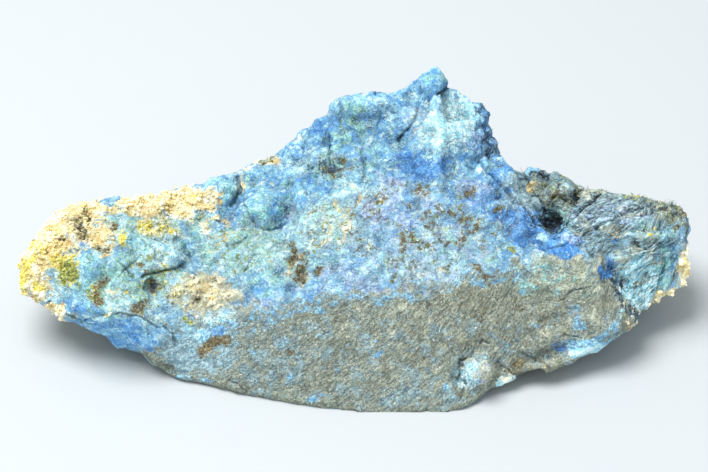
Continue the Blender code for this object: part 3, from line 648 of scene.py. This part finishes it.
class StageSettings(bpy.types.PropertyGroup):
    """Floor, light and backdrop tones."""

    floor: tone("Floor", "Pale floor", 184, 189, 191)
    floor_width: length("Floor Width", "Width of the floor", 3000, 500, 10000)
    sky_light: FloatProperty(
        name="Room Light", description="Strength of the even light all round",
        default=0.68, min=0, max=5)
    lamp: FloatProperty(
        name="Lamp", description="Power of the large soft lamp overhead, in watts",
        default=1.95, min=0, max=100)


class SpecimenSettings(bpy.types.PropertyGroup):
    """Every setting of the specimen."""

    skin: PointerProperty(type=SkinSettings)
    colours: PointerProperty(type=MineralColours)
    grains: PointerProperty(type=GrainSettings)
    splinters: PointerProperty(type=SplinterSettings)
    stage: PointerProperty(type=StageSettings)


# Places, noise and shares

def photo_places(points):
    """Column and row in the photograph of points given in millimetres."""
    away = points - EYE
    scale = LENS / SENSOR * PHOTO_WIDTH / (away @ INWARD)
    columns = PHOTO_WIDTH / 2 + away @ RIGHT * scale
    rows = PHOTO_HEIGHT / 2 - away @ UP * scale
    return np.stack((columns, rows), 1)


def smooth_share(values, low, high):
    """0 below low, 1 above high, with a soft rise in between."""
    share = np.clip((values - low) / (high - low), 0, 1)
    return share * share * (3 - 2 * share)


def step(values, name):
    return smooth_share(values, *STEPS[name])


def soft_noise(points, size, octaves, seed):
    """Soft noise of about −1 to 1 with features of that size, at each point."""
    places = (points / size + 17.3 * seed).tolist()
    return np.array([noise.fractal(place, 1.0, 2.0, octaves) for place in places])


def clouds(points, name):
    return soft_noise(points, *CLOUDS[name])


def cells(points, name):
    """Rounded cells: 1 in the middle of a cell and 0 at its edge."""
    size, seed = CELLS[name]
    places = (points / size + 9.7 * seed).tolist()
    nearest = [noise.voronoi(place)[0][:2] for place in places]
    first, second = np.array(nearest).T
    return np.clip((second - first) * 1.6, 0, 1)


def shaken(points, places, name):
    """Places pushed about in the photograph by smooth noise, the same in each run."""
    for reach, size, seed in SHAKES[name]:
        noise.seed_set(seed)
        spots = (points / size + 31.1 * seed).tolist()
        places = places + reach * np.array([noise.noise_vector(spot)[:2] for spot in spots])
    return places


def box_distance(places, box):
    """Distance from the middle of a patch, 1 at its rim, and the patch's share."""
    left, top, right, bottom = box[:4]
    share = box[4] if len(box) > 4 else 1.0
    turn = math.radians(box[5]) if len(box) > 5 else 0.0
    across = places[:, 0] - (left + right) / 2
    down = places[:, 1] - (top + bottom) / 2
    along = across * math.cos(turn) + down * math.sin(turn)
    beside = down * math.cos(turn) - across * math.sin(turn)
    width = max(abs(right - left) / 2, 1)
    height = max(abs(bottom - top) / 2, 1)
    return np.hypot(along / width, beside / height), share


def patch_share(places, patches, rim=BROAD_RIM):
    """The largest share that any of the patches has at each place."""
    total = np.zeros(len(places))
    for box in patches:
        distance, share = box_distance(places, box)
        total = np.maximum(total, share * (1 - smooth_share(distance, *rim)))
    return total


def line_distance(places, line):
    """Distance in pixels from a line through several pixels."""
    nearest = np.full(len(places), np.inf)
    corners = np.array(line, float)
    for start, end in zip(corners[:-1], corners[1:]):
        stride = end - start
        share = np.clip((places - start) @ stride / (stride @ stride), 0, 1)
        gap = places - start - share[:, None] * stride
        nearest = np.minimum(nearest, np.hypot(gap[:, 0], gap[:, 1]))
    return nearest


def fibre_places(points, places):
    """Each point's place along and across the fibres, in millimetres."""
    columns, turns = np.array(FIBRE_TURNS, float).T
    turn = np.interp(places[:, 0], columns, turns)
    turn = turn + END_FACE_TURN * step(places[:, 0], "end columns") * step(places[:, 1], "end rows")
    turn = np.radians(turn)
    along = np.outer(np.cos(turn), RIGHT) + np.outer(np.sin(turn), UP)
    beside = np.outer(-np.sin(turn), RIGHT) + np.outer(np.cos(turn), UP)
    return np.stack(((points * along).sum(1), (points * beside).sum(1), points @ INWARD), 1)


# Mesh helpers

def coordinates(mesh, name="co"):
    """The mesh's points or normals as rows of three numbers."""
    values = np.empty(len(mesh.vertices) * 3)
    mesh.vertices.foreach_get(name, values)
    return values.reshape(-1, 3)


def set_coordinates(mesh, points):
    mesh.vertices.foreach_set("co", points.ravel())
    mesh.update()


def set_share(mesh, name, values):
    """Stores one number for each point, for the finish to read."""
    attribute = mesh.attributes.new(name, "FLOAT", "POINT")
    attribute.data.foreach_set("value", values.astype(np.float32))


def set_fibre_places(mesh, along):
    """Stores each point's place along the fibres, for the finish to read."""
    attribute = mesh.attributes.new("along_fibre", "FLOAT_VECTOR", "POINT")
    attribute.data.foreach_set("vector", (along * MM).astype(np.float32).ravel())


def share_values(mesh, name):
    values = np.zeros(len(mesh.vertices), np.float32)
    mesh.attributes[name].data.foreach_get("value", values)
    return values.astype(float)


def neighbour_mean(mesh):
    """A function that gives the mean over each point's neighbours."""
    ends = np.empty(len(mesh.edges) * 2, np.int64)
    mesh.edges.foreach_get("vertices", ends)
    first, second = ends.reshape(-1, 2).T
    count = len(mesh.vertices)
    number = np.bincount(first, minlength=count) + np.bincount(second, minlength=count)

    def mean(points):
        columns = []
        for values in points.T:
            total = np.bincount(first, values[second], count)
            columns.append((total + np.bincount(second, values[first], count)) / number)
        return np.stack(columns, 1)

    return mean


def mesh_from(bm, name):
    """A mesh made from a finished bmesh, which is freed."""
    mesh = bpy.data.meshes.new(name)
    bm.to_mesh(mesh)
    bm.free()
    return mesh


def add_object(name, data):
    obj = bpy.data.objects.new(name, data)
    bpy.context.scene.collection.objects.link(obj)
    return obj


def finish_piece(obj, material):
    obj.data.materials.clear()
    obj.data.materials.append(material)
    for face in obj.data.polygons:
        face.use_smooth = True
    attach(obj, BODY)


# The stone's skin

def fine_copy(stone, cell):
    """A merged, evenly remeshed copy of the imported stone."""
    bm = bmesh.new()
    bm.from_mesh(stone.data)
    bmesh.ops.remove_doubles(bm, verts=bm.verts, dist=MERGE_DISTANCE * MM)
    skin = add_object(SKIN, mesh_from(bm, SKIN))
    cover = skin.modifiers.new("fine skin", "REMESH")
    cover.mode = "VOXEL"
    cover.voxel_size = cell
    graph = bpy.context.evaluated_depsgraph_get()
    fine = bpy.data.meshes.new_from_object(skin.evaluated_get(graph))
    skin.modifiers.clear()
    skin.data = fine
    fine.name = SKIN
    return skin


def refine_cracks(mesh):
    """Splits the faces along the cracks, so that they stay crisp."""
    places = photo_places(coordinates(mesh) / MM)
    toward = coordinates(mesh, "normal") @ INWARD < TURNED_AWAY
    near = np.zeros(len(places), bool)
    for crack in CRACKS:
        near |= toward & (line_distance(places, crack[0]) < CRACK_REACH)
    bm = bmesh.new()
    bm.from_mesh(mesh)
    split = [edge for edge in bm.edges if all(near[vert.index] for vert in edge.verts)]
    bmesh.ops.subdivide_edges(bm, edges=split, cuts=1, use_grid_fill=True)
    bm.to_mesh(mesh)
    bm.free()


def mineral_shares(points, normals, places):
    """How much of each mineral covers each point, and how far the photograph shows the point."""
    toward = EYE - points
    toward /= np.linalg.norm(toward, axis=1)[:, None]
    seen = step((normals * toward).sum(1), "in view")
    loose = shaken(points, places, "patches")
    brow_columns, brow_rows = np.array(BROW, float).T
    brow = np.interp(places[:, 0], brow_columns, brow_rows)
    tongues = TONGUES * clouds(points, "tongues")
    below_brow = step(loose[:, 1] - brow + tongues, "below the brow")

    bottom = step(-normals[:, 2], "underside")
    left_end = step(-points[:, 0], "left end") * (1 - bottom)
    right_end = step(points[:, 0], "right end") * (1 - bottom)
    ends = np.clip(left_end + 0.5 * right_end, 0, 1)
    shares = {}
    for number, (mineral, patches) in enumerate(PATCHES.items()):
        shown = patch_share(loose, patches, RIMS.get(mineral, RIM)) * THINNED.get(mineral, 1.0)
        for line, half_width, share in STRIPS.get(mineral, ()):
            gap = line_distance(loose, line) / half_width
            shown = np.maximum(shown, share * (1 - step(gap, "strip")))
        beyond = step(soft_noise(points, *HIDDEN_PATCH, 5 + number), "hidden patch")
        hidden = HIDDEN_SHARES.get(mineral, 0.0) * beyond + END_SHARES.get(mineral, 0.0) * ends
        shares[mineral] = shown * seen + hidden * (1 - seen)
    puffs = step(clouds(points, "puffs"), "puffs")
    shares["tan"] = np.maximum(shares["tan"], PUFFS * shares["cream"] * seen * puffs)
    clumps = step(clouds(points, "clumps"), "clumps")
    loosely = shares["brown"] * (0.25 + 1.0 * clumps)
    shares["brown"] = np.where(shares["brown"] < 0.5, loosely, shares["brown"])
    halo = shares["brown"] * seen * (1 - below_brow)
    for mineral, share in HALO.items():
        shares[mineral] = np.maximum(shares[mineral], share * halo)
    far_side = step(clouds(points, "far side"), "far rock") * 0.9
    rock = below_brow * seen + np.maximum(far_side, bottom) * (1 - seen)
    facet = patch_share(places, CALM)
    shares["rock"] = np.clip(MOST_ROCK * rock * (1 - facet * seen), 0, MOST_ROCK)
    return shares, seen


def relief(points, places, shares, seen, settings):
    """How far the fine relief moves each point in millimetres, the shade in the cracks and the fibres."""
    crust = np.clip(shares["cream"] + shares["tan"] + shares["yellow"] + 0.5 * shares["olive"], 0, 1)
    rock = shares["rock"]
    hidden_fibre = step(clouds(points, "hidden fibre"), "hidden patch") * (1 - crust)
    fibrous = patch_share(places, FIBROUS) * seen + hidden_fibre * (1 - seen)
    nodular = patch_share(places, NODULAR) * seen + 0.7 * (1 - seen) * (1 - fibrous)
    plain = 1 - 0.8 * rock

    along = fibre_places(points, places)
    bundles, ridges, streaks = (clouds(along / np.array(long), name) for name, long in STRETCHED)
    blades = 1 - 2 * np.abs(ridges)

    mm = 1 / MM
    height = settings.lumps * mm * clouds(points, "lumps") * (0.35 + 0.65 * plain)
    height += settings.grain * mm * clouds(points, "grain") * (0.4 + 0.6 * plain)
    crumbs = settings.crumbs * mm * (cells(points, "crumbs") - 0.5)
    height += crumbs * (0.25 + 0.75 * plain) * (1 - 0.7 * fibrous)
    knobs = settings.nodules * mm * (cells(points, "nodules") - 0.6)
    height += knobs * nodular * plain * (1 - 0.6 * fibrous)
    height += settings.crust * mm * (cells(points, "beads") - 0.3) * crust
    height += settings.fibres * mm * (0.6 * blades + 0.6 * bundles + 0.4 * streaks) * fibrous
    height += 0.10 * settings.fibres * mm * streaks * rock * (1 - fibrous)
    height *= 1 - 0.7 * patch_share(places, CALM) * seen

    shade = np.zeros(len(points))
    ragged = shaken(points, places, "cracks")
    broken = np.clip(0.5 + 1.8 * clouds(points, "broken"), 0, 1)
    for line, half_width, depth, dark in CRACKS:
        gap = line_distance(ragged, line) / half_width
        height -= depth * ((1 - step(gap, "groove")) * seen)
        shade = np.maximum(shade, dark * broken * (1 - step(gap, "crack shade")) * seen)
    ragged = shaken(points, places, "pits")
    for box in PITS:
        distance, rise = box_distance(ragged, box)
        height += rise * (1 - step(distance, "pit")) * seen
    return height, shade, fibrous, along


def light_shade_and_tone(places, seen):
    """How much paler or darker each point is: painted light and shade, and the stone's own tone."""
    change = np.zeros(len(places))
    for box in LIGHT_SHADE_AND_TONE:
        distance, paler = box_distance(places, box)
        change += paler * (1 - step(distance, "shade")) * seen
    return np.clip(change, *TONE_LIMITS)


def dress_skin(skin, settings):
    """Smooths the skin, gives it its minerals and pushes the fine relief into it."""
    mesh = skin.data
    mean = neighbour_mean(mesh)
    points = coordinates(mesh) / MM
    on_base = points[:, 2] < BASE_HEIGHT
    for _ in range(settings.smoothing):
        relaxed = points + SMOOTHED * (mean(points) - points)
        relaxed += SWELLED * (relaxed - mean(relaxed))
        points = np.where(on_base[:, None], points, relaxed)
    set_coordinates(mesh, points * MM)
    refine_cracks(mesh)
    mean = neighbour_mean(mesh)
    points = coordinates(mesh) / MM
    normals = coordinates(mesh, "normal")
    places = photo_places(points)
    shares, seen = mineral_shares(points, normals, places)
    height, shade, fibrous, along = relief(points, places, shares, seen, settings)
    height *= step(points[:, 2], "off the floor")
    points = points + normals * height[:, None]
    points[:, 2] = np.maximum(points[:, 2], 0.0)
    set_coordinates(mesh, points * MM)

    evened = points
    for _ in range(EVENING_PASSES):
        evened = mean(evened)
    inward_bend = ((evened - points) * coordinates(mesh, "normal")).sum(1)
    # The crack share is the painted shade in the cracks
    shares["crack"] = shade
    # Hollows get painted shade in the finish, and ridges painted light
    shares["hollow"] = np.clip(inward_bend / DEEPEST_HOLLOW, -1, 1)
    shares["fibrous"] = fibrous
    # The tone is partly painted light and shade
    shares["tone"] = light_shade_and_tone(places, seen)
    for name, values in shares.items():
        set_share(mesh, name, values)
    set_fibre_places(mesh, along)


# Finishes

def node(tree, kind, inputs=None, **settings):
    """A new node with its sockets filled by values or by links from other nodes."""
    made = tree.nodes.new(kind)
    for name, value in settings.items():
        setattr(made, name, value)
    for socket, value in (inputs or {}).items():
        if isinstance(value, Amount):
            tree.links.new(value.socket, made.inputs[socket])
        else:
            made.inputs[socket].default_value = value
    return made


class Amount:
    """A number, colour or place inside a finish, whose nodes are written as plain arithmetic."""

    def __init__(self, tree, socket):
        self.tree = tree
        self.socket = socket

    def reckon(self, operation, first, second):
        made = node(self.tree, "ShaderNodeMath", {0: first, 1: second}, operation=operation)
        return Amount(self.tree, made.outputs[0])

    def __add__(self, other):
        return self.reckon("ADD", self, other)

    def __sub__(self, other):
        return self.reckon("SUBTRACT", self, other)

    def __rsub__(self, other):
        return self.reckon("SUBTRACT", other, self)

    def __mul__(self, other):
        return self.reckon("MULTIPLY", self, other)

    def most(self, other):
        return self.reckon("MAXIMUM", self, other)

    def least(self, other):
        return self.reckon("MINIMUM", self, other)

    def clamped(self):
        """The same sum, kept between 0 and 1."""
        self.socket.node.use_clamp = True
        return self


def mixed(tree, share, below, above):
    """The second colour laid over the first by that share."""
    made = node(tree, "ShaderNodeMix", {0: share, 6: below, 7: above}, data_type="RGBA")
    return Amount(tree, made.outputs[2])


def moved(tree, place, operation, change):
    made = node(tree, "ShaderNodeVectorMath", {0: place, 1: change}, operation=operation)
    return Amount(tree, made.outputs[0])


def mottle(tree, place, size, detail, roughness, shift=0.0, distortion=0.0):
    """Cloudy noise with features of that size in millimetres."""
    made = node(
        tree, "ShaderNodeTexNoise",
        {"Vector": moved(tree, place, "ADD", (shift * MM, shift * MM, 0)), "Scale": 1 / (size * MM),
         "Detail": detail, "Roughness": roughness, "Distortion": distortion})
    return Amount(tree, made.outputs["Fac"])


def stepped(tree, value, low, high):
    """A soft step from 0 to 1 between two values."""
    made = node(
        tree, "ShaderNodeMapRange", {"Value": value, "From Min": low, "From Max": high},
        interpolation_type="SMOOTHSTEP")
    return Amount(tree, made.outputs["Result"])


def spots(tree, place, name):
    """A named cloudy pattern, cut into spots with soft edges."""
    cloud, edge = SPOTS[name]
    return stepped(tree, mottle(tree, place, *cloud), *edge)


def crumbly(tree, place, size, edge):
    """Crumbs of that size in millimetres: 0 at their edges and 1 inside."""
    scale = 1 / (size * MM)
    bend = node(tree, "ShaderNodeTexNoise", {"Vector": place, "Scale": scale, "Detail": 3.0})
    push = moved(tree, Amount(tree, bend.outputs["Color"]), "MULTIPLY", (size * MM,) * 3)
    made = node(
        tree, "ShaderNodeTexVoronoi", {"Vector": moved(tree, place, "ADD", push), "Scale": scale},
        feature="DISTANCE_TO_EDGE")
    return stepped(tree, Amount(tree, made.outputs["Distance"]), 0.0, edge)


def stored(tree, name, output="Fac"):
    """A number or place that each point of the mesh carries."""
    made = node(tree, "ShaderNodeAttribute", attribute_name=name, attribute_type="GEOMETRY")
    return Amount(tree, made.outputs[output])


def mineral_colour(tree, colours, place, streak_place, bare):
    """The colour of the minerals at each point, from its shares, with painted shade and glints."""
    def paint(name):
        return (*getattr(colours, name), 1)

    colour = mixed(tree, spots(tree, place, "flecks"), paint("sky"), paint("sky_light"))
    colour = mixed(tree, spots(tree, place, "clear"), colour, paint("deep_light"))
    colour = mixed(tree, spots(tree, place, "bleached"), colour, paint("pale_light"))
    for number, (mineral, (fleck, edge, soft)) in enumerate(EDGES.items()):
        where = streak_place if mineral in STREAKED else place
        flecks = mottle(tree, where, fleck, 2.0, 0.62, 11.3 + 2.9 * number)
        light = stepped(tree, flecks, 0.42, 0.58)
        own = mixed(tree, light, paint(mineral), paint(mineral + "_light"))
        ragged = mottle(tree, place, edge, 4.0, 0.66, 5.7 + 3.7 * number, 0.3)
        present = stored(tree, mineral)
        spread = (ragged - 0.5) * RAGGEDNESS * (present * 5.0).clamped()
        covered = stepped(tree, present + spread, 0.5 - soft, 0.5 + soft)
        share = (covered * 0.76 + present * 0.30).clamped()
        colour = mixed(tree, share, colour, own)
    # Painted shade: dark specks for the shade in tiny pits
    holes = spots(tree, place, "pinholes") * bare * PINHOLE_SHADE
    colour = mixed(tree, holes, colour, paint("dark_light"))
    # White powder flecks, partly painted glints
    colour = mixed(tree, spots(tree, place, "powder") * POWDER_AND_GLINTS, colour, paint("cream_light"))
    # Painted glints: small white highlights, most of them on the rock
    painted_glints = spots(tree, place, "painted_glints") * (stored(tree, "rock") * ROCK_PAINTED_GLINTS + PAINTED_GLINTS)
    return mixed(tree, painted_glints, colour, paint("cream_light"))


def stone_finish(name, colours):
    """A matt, earthy finish that reads the minerals of each point, with painted light and shade."""
    bump, roughness = FINISHES[name]
    material = bpy.data.materials.new(name)
    material.use_nodes = True
    tree = material.node_tree
    tree.nodes.clear()
    place = Amount(tree, node(tree, "ShaderNodeTexCoord").outputs["Object"])
    along = stored(tree, "along_fibre", "Vector")
    streak_place = moved(tree, along, "MULTIPLY", STREAK_STRETCH)
    fibrous = stored(tree, "fibrous")
    rock = stored(tree, "rock")
    bare = 1.0 - stored(tree, "cream").most(stored(tree, "tan")) * 0.6
    lined = fibrous.most(rock * 0.4)

    colour = mineral_colour(tree, colours, place, streak_place, bare)
    speckle = mottle(tree, place, *SPECKLE)
    streaks = mottle(tree, streak_place, *STREAKS)
    grained = mixed(tree, lined * 0.85, speckle, streaks)
    shading = stepped(tree, grained, 0.40, 0.60) - 0.5
    contrast = (fibrous.most(rock) * ROUGH_CONTRAST + CONTRAST) * bare
    crumbs = crumbly(tree, place, *SMALL_CRUMBS).least(crumbly(tree, place, *BIG_CRUMBS))
    # Painted shade in the gaps between crumbs, which also dent the bumps
    gaps = (1.0 - crumbs) * (spots(tree, place, "loose") * (1.0 - rock * 0.8)) * bare
    # How much shade is painted into the hollows, and light onto the ridges
    painted_hollow_shade = fibrous * FIBRE_HOLLOW_SHADE + HOLLOW_SHADE
    bands = (spots(tree, streak_place, "bands") - 0.5) * fibrous
    value = shading * contrast + BRIGHTNESS - gaps * GAP_SHADE - stored(tree, "hollow") * painted_hollow_shade * bare
    # The tone adds painted light and shade as well as the stone's own tone
    value = value + bands * BANDS + stored(tree, "tone") * PALER
    shaded = node(tree, "ShaderNodeHueSaturation", {"Value": value, "Color": colour})
    shaded = Amount(tree, shaded.outputs[0])
    # Painted shade: navy in the cracks
    colour = mixed(tree, stored(tree, "crack"), shaded, (*colours.dark, 1))

    dull = speckle * 0.25 + (roughness - 0.12)
    rough = (dull - spots(tree, place, "glints") * GLINTS).clamped()
    raised = mixed(tree, lined, mottle(tree, place, *FINE_BUMPS), mottle(tree, streak_place, *RIBS))
    bumps = node(
        tree, "ShaderNodeBump",
        {"Height": raised - gaps * GAP_DEPTH, "Strength": 1.0, "Distance": bump * MM})
    surface = node(
        tree, "ShaderNodeBsdfPrincipled",
        {"Base Color": colour, "Roughness": rough, "Specular IOR Level": 0.35,
         "Normal": Amount(tree, bumps.outputs[0])})
    node(tree, "ShaderNodeOutputMaterial", {"Surface": Amount(tree, surface.outputs[0])})
    return material


# Grains and splinters

def skin_object():
    skin = bpy.data.objects.get(SKIN)
    if skin is None:
        raise RuntimeError("Make the stone's skin first")
    return skin


def frame_at(normal, lie):
    """Axes with X along the lie and Z out of the surface."""
    out = Vector(normal).normalized()
    ahead = Vector(lie) - out * out.dot(Vector(lie))
    ahead.normalize()
    side = out.cross(ahead)
    return Matrix((ahead, side, out)).transposed().to_4x4()


def pass_on_shares(piece, skin, seeds, tones):
    """Gives each point of a piece the minerals of the skin where its grain or splinter sits."""
    mesh = piece.data
    for name in (*PATCHES, "crack", "hollow", "fibrous"):
        set_share(mesh, name, share_values(skin.data, name)[seeds])
    set_share(mesh, "tone", tones + share_values(skin.data, "tone")[seeds])
    points = coordinates(mesh) / MM
    set_fibre_places(mesh, fibre_places(points, photo_places(points)))


def scatter(name, skin, chance, count, seed, shape_one, tone_range):
    """A piece of many small shapes that sit on points of the skin, picked by chance."""
    random = np.random.default_rng(seed)
    picked = random.choice(len(chance), count, replace=False, p=chance / chance.sum())
    whole, lot = bmesh.new(), bmesh.new()
    seeds, tones = [], []

    def gather():
        mesh = bpy.data.meshes.new("lot")
        lot.to_mesh(mesh)
        lot.clear()
        whole.from_mesh(mesh)
        bpy.data.meshes.remove(mesh)

    for spot in picked:
        if len(lot.verts) > LOT:
            gather()
        number = len(shape_one(lot, random, spot)["verts"])
        seeds += [spot] * number
        tones += [random.uniform(-tone_range, tone_range)] * number
    gather()
    lot.free()
    bmesh.ops.recalc_face_normals(whole, faces=whole.faces)
    for vert in whole.verts:
        vert.co.z = max(vert.co.z, 0.0)
    piece = add_object(name, mesh_from(whole, name))
    pass_on_shares(piece, skin, np.array(seeds), np.array(tones))
    return piece


class AERINITE_OT_skin(bpy.types.Operator):
    """Make the stone's skin, with its minerals and its fine relief"""

    bl_idname = "aerinite.skin"
    bl_label = "Stone Skin"
    bl_options = {"REGISTER", "UNDO"}

    def execute(self, context):
        settings = context.scene.aerinite
        skin = fine_copy(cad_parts[STONE], settings.skin.cell)
        dress_skin(skin, settings.skin)
        finish_piece(skin, stone_finish("aerinite_stone_finish", settings.colours))
        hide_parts(STONE)
        return {"FINISHED"}


class AERINITE_OT_grains(bpy.types.Operator):
    """Stand small angular grains on the cream, ochre and yellow crusts"""

    bl_idname = "aerinite.grains"
    bl_label = "Crust Grains"
    bl_options = {"REGISTER", "UNDO"}

    def execute(self, context):
        settings = context.scene.aerinite
        sizes = settings.grains
        skin = skin_object()
        mesh = skin.data
        points, normals = coordinates(mesh), coordinates(mesh, "normal")
        crust = sum(share_values(mesh, name) for name in ("cream", "tan", "yellow"))
        chance = np.clip(crust - GRAIN_CRUST, 0, 1) * (points[:, 2] > GRAIN_HEIGHT * MM)

        def grain(lot, random, spot):
            wider = random.random() ** MOSTLY_SMALL
            width = sizes.smallest + (sizes.largest - sizes.smallest) * wider
            squash = Matrix.Diagonal((*random.uniform(*GRAIN_SQUASH, 3), 1))
            turned = Matrix.Rotation(random.uniform(0, math.tau), 4, Vector(random.normal(size=3)))
            centre = Matrix.Translation(points[spot] + normals[spot] * width * GRAIN_LIFT)
            made = bmesh.ops.create_icosphere(
                lot, subdivisions=1, radius=width / 2, matrix=centre @ turned @ squash)
            for vert in made["verts"]:
                vert.co += Vector(random.normal(size=3)) * width * GRAIN_DENTS
            return made

        grains = scatter(
            "crust_grains", skin, chance, sizes.count, GRAIN_SEED, grain, GRAIN_TONES)
        finish_piece(grains, stone_finish("crust_grain_finish", settings.colours))
        return {"FINISHED"}


class AERINITE_OT_splinters(bpy.types.Operator):
    """Lay thin splinters along the fibres of the shelf and of the serrated side"""

    bl_idname = "aerinite.splinters"
    bl_label = "Fibre Splinters"
    bl_options = {"REGISTER", "UNDO"}

    def execute(self, context):
        settings = context.scene.aerinite
        sizes = settings.splinters
        skin = skin_object()
        mesh = skin.data
        points, normals = coordinates(mesh), coordinates(mesh, "normal")
        sheltered = step(share_values(mesh, "hollow"), "sheltered")
        chance = np.clip(share_values(mesh, "fibrous") - SPLINTER_FIBRE, 0, 1) * sheltered
        chance = chance * (points[:, 2] > SPLINTER_HEIGHT * MM)
        fibre_turns = np.interp(photo_places(points / MM)[:, 0], *np.array(FIBRE_TURNS, float).T)
        flat = Matrix.Diagonal((1, 1, 0.6, 1))
        lying = Matrix.Rotation(math.radians(90), 4, "Y")

        def splinter(lot, random, spot):
            turn = math.radians(fibre_turns[spot] + random.normal() * SPLINTER_SPREAD)
            lie = math.cos(turn) * RIGHT + math.sin(turn) * UP
            if normals[spot] @ INWARD > TURNED_AWAY:
                lie = math.cos(turn) * RIGHT - math.sin(turn) * INWARD
            tall = random.uniform(sizes.shortest, sizes.longest)
            width = sizes.width * random.uniform(*SPLINTER_WIDTHS)
            tilt = Matrix.Rotation(math.radians(random.uniform(*SPLINTER_TILTS)), 4, "Y")
            axes = frame_at(normals[spot], lie)
            middle = Matrix.Translation(points[spot] + normals[spot] * width * SPLINTER_LIFT)
            return bmesh.ops.create_cone(
                lot, cap_ends=True, segments=5, radius1=width / 2, radius2=width * SPLINTER_TIP,
                depth=tall, matrix=middle @ axes @ flat @ tilt @ lying)

        splinters = scatter(
            "fibre_splinters", skin, chance, sizes.count, SPLINTER_SEED, splinter, SPLINTER_TONES)
        finish_piece(splinters, stone_finish("splinter_finish", settings.colours))
        return {"FINISHED"}


class AERINITE_OT_stage(bpy.types.Operator):
    """Make the plain floor, the soft light and the camera"""

    bl_idname = "aerinite.stage"
    bl_label = "Stage"
    bl_options = {"REGISTER", "UNDO"}

    def execute(self, context):
        settings = context.scene.aerinite.stage
        scene = context.scene
        bm = bmesh.new()
        bmesh.ops.create_grid(bm, x_segments=1, y_segments=1, size=settings.floor_width / 2)
        floor = add_object("floor", mesh_from(bm, "floor"))
        material = bpy.data.materials.new("floor_finish")
        material.use_nodes = True
        surface = material.node_tree.nodes["Principled BSDF"]
        surface.inputs["Base Color"].default_value = (*settings.floor, 1)
        surface.inputs["Roughness"].default_value = FLOOR_ROUGHNESS
        floor.data.materials.append(material)

        world = bpy.data.worlds.new("soft room")
        world.use_nodes = True
        backdrop = world.node_tree.nodes["Background"]
        backdrop.inputs["Color"].default_value = BACKDROP
        backdrop.inputs["Strength"].default_value = settings.sky_light
        scene.world = world

        lamp = bpy.data.lights.new("overhead", "AREA")
        lamp.shape = "DISK"
        lamp.size = LAMP_SIZE
        lamp.energy = settings.lamp
        overhead = add_object("overhead", lamp)
        overhead.location = LAMP_PLACE
        aim = Vector(LAMP_AIM) - overhead.location
        overhead.rotation_euler = aim.to_track_quat("-Z", "Y").to_euler()

        camera = bpy.data.cameras.new("photo_camera")
        camera.lens = LENS
        camera.sensor_width = SENSOR
        camera.clip_start = NEAREST
        camera.clip_end = FARTHEST
        eye = add_object("photo_camera", camera)
        eye.location = EYE * MM
        eye.rotation_euler = (math.radians(90 - VIEW_ELEVATION), 0, 0)
        scene.camera = eye
        scene.view_settings.view_transform = "Standard"
        return {"FINISHED"}


class AERINITE_PT_panel(bpy.types.Panel):
    """The specimen's settings and steps"""

    bl_label = "Aerinite"
    bl_idname = "AERINITE_PT_panel"
    bl_space_type = "VIEW_3D"
    bl_region_type = "UI"
    bl_category = "Aerinite"

    def draw(self, context):
        settings = context.scene.aerinite
        for group in ("skin", "grains", "splinters", "stage", "colours"):
            box = self.layout.box()
            values = getattr(settings, group)
            for name in values.bl_rna.properties.keys():
                if name not in ("rna_type", "name"):
                    box.prop(values, name)
            if group != "colours":
                box.operator("aerinite." + group)


CLASSES = (
    SkinSettings, MineralColours, GrainSettings, SplinterSettings, StageSettings,
    SpecimenSettings, AERINITE_OT_skin, AERINITE_OT_grains, AERINITE_OT_splinters,
    AERINITE_OT_stage, AERINITE_PT_panel,
)


def register():
    for cls in CLASSES:
        bpy.utils.register_class(cls)
    bpy.types.Scene.aerinite = PointerProperty(type=SpecimenSettings)


def unregister():
    del bpy.types.Scene.aerinite
    for cls in reversed(CLASSES):
        bpy.utils.unregister_class(cls)


def main():
    register()
    bpy.ops.aerinite.skin()
    bpy.ops.aerinite.grains()
    bpy.ops.aerinite.splinters()
    bpy.ops.aerinite.stage()


if __name__ == "__main__":
    main()
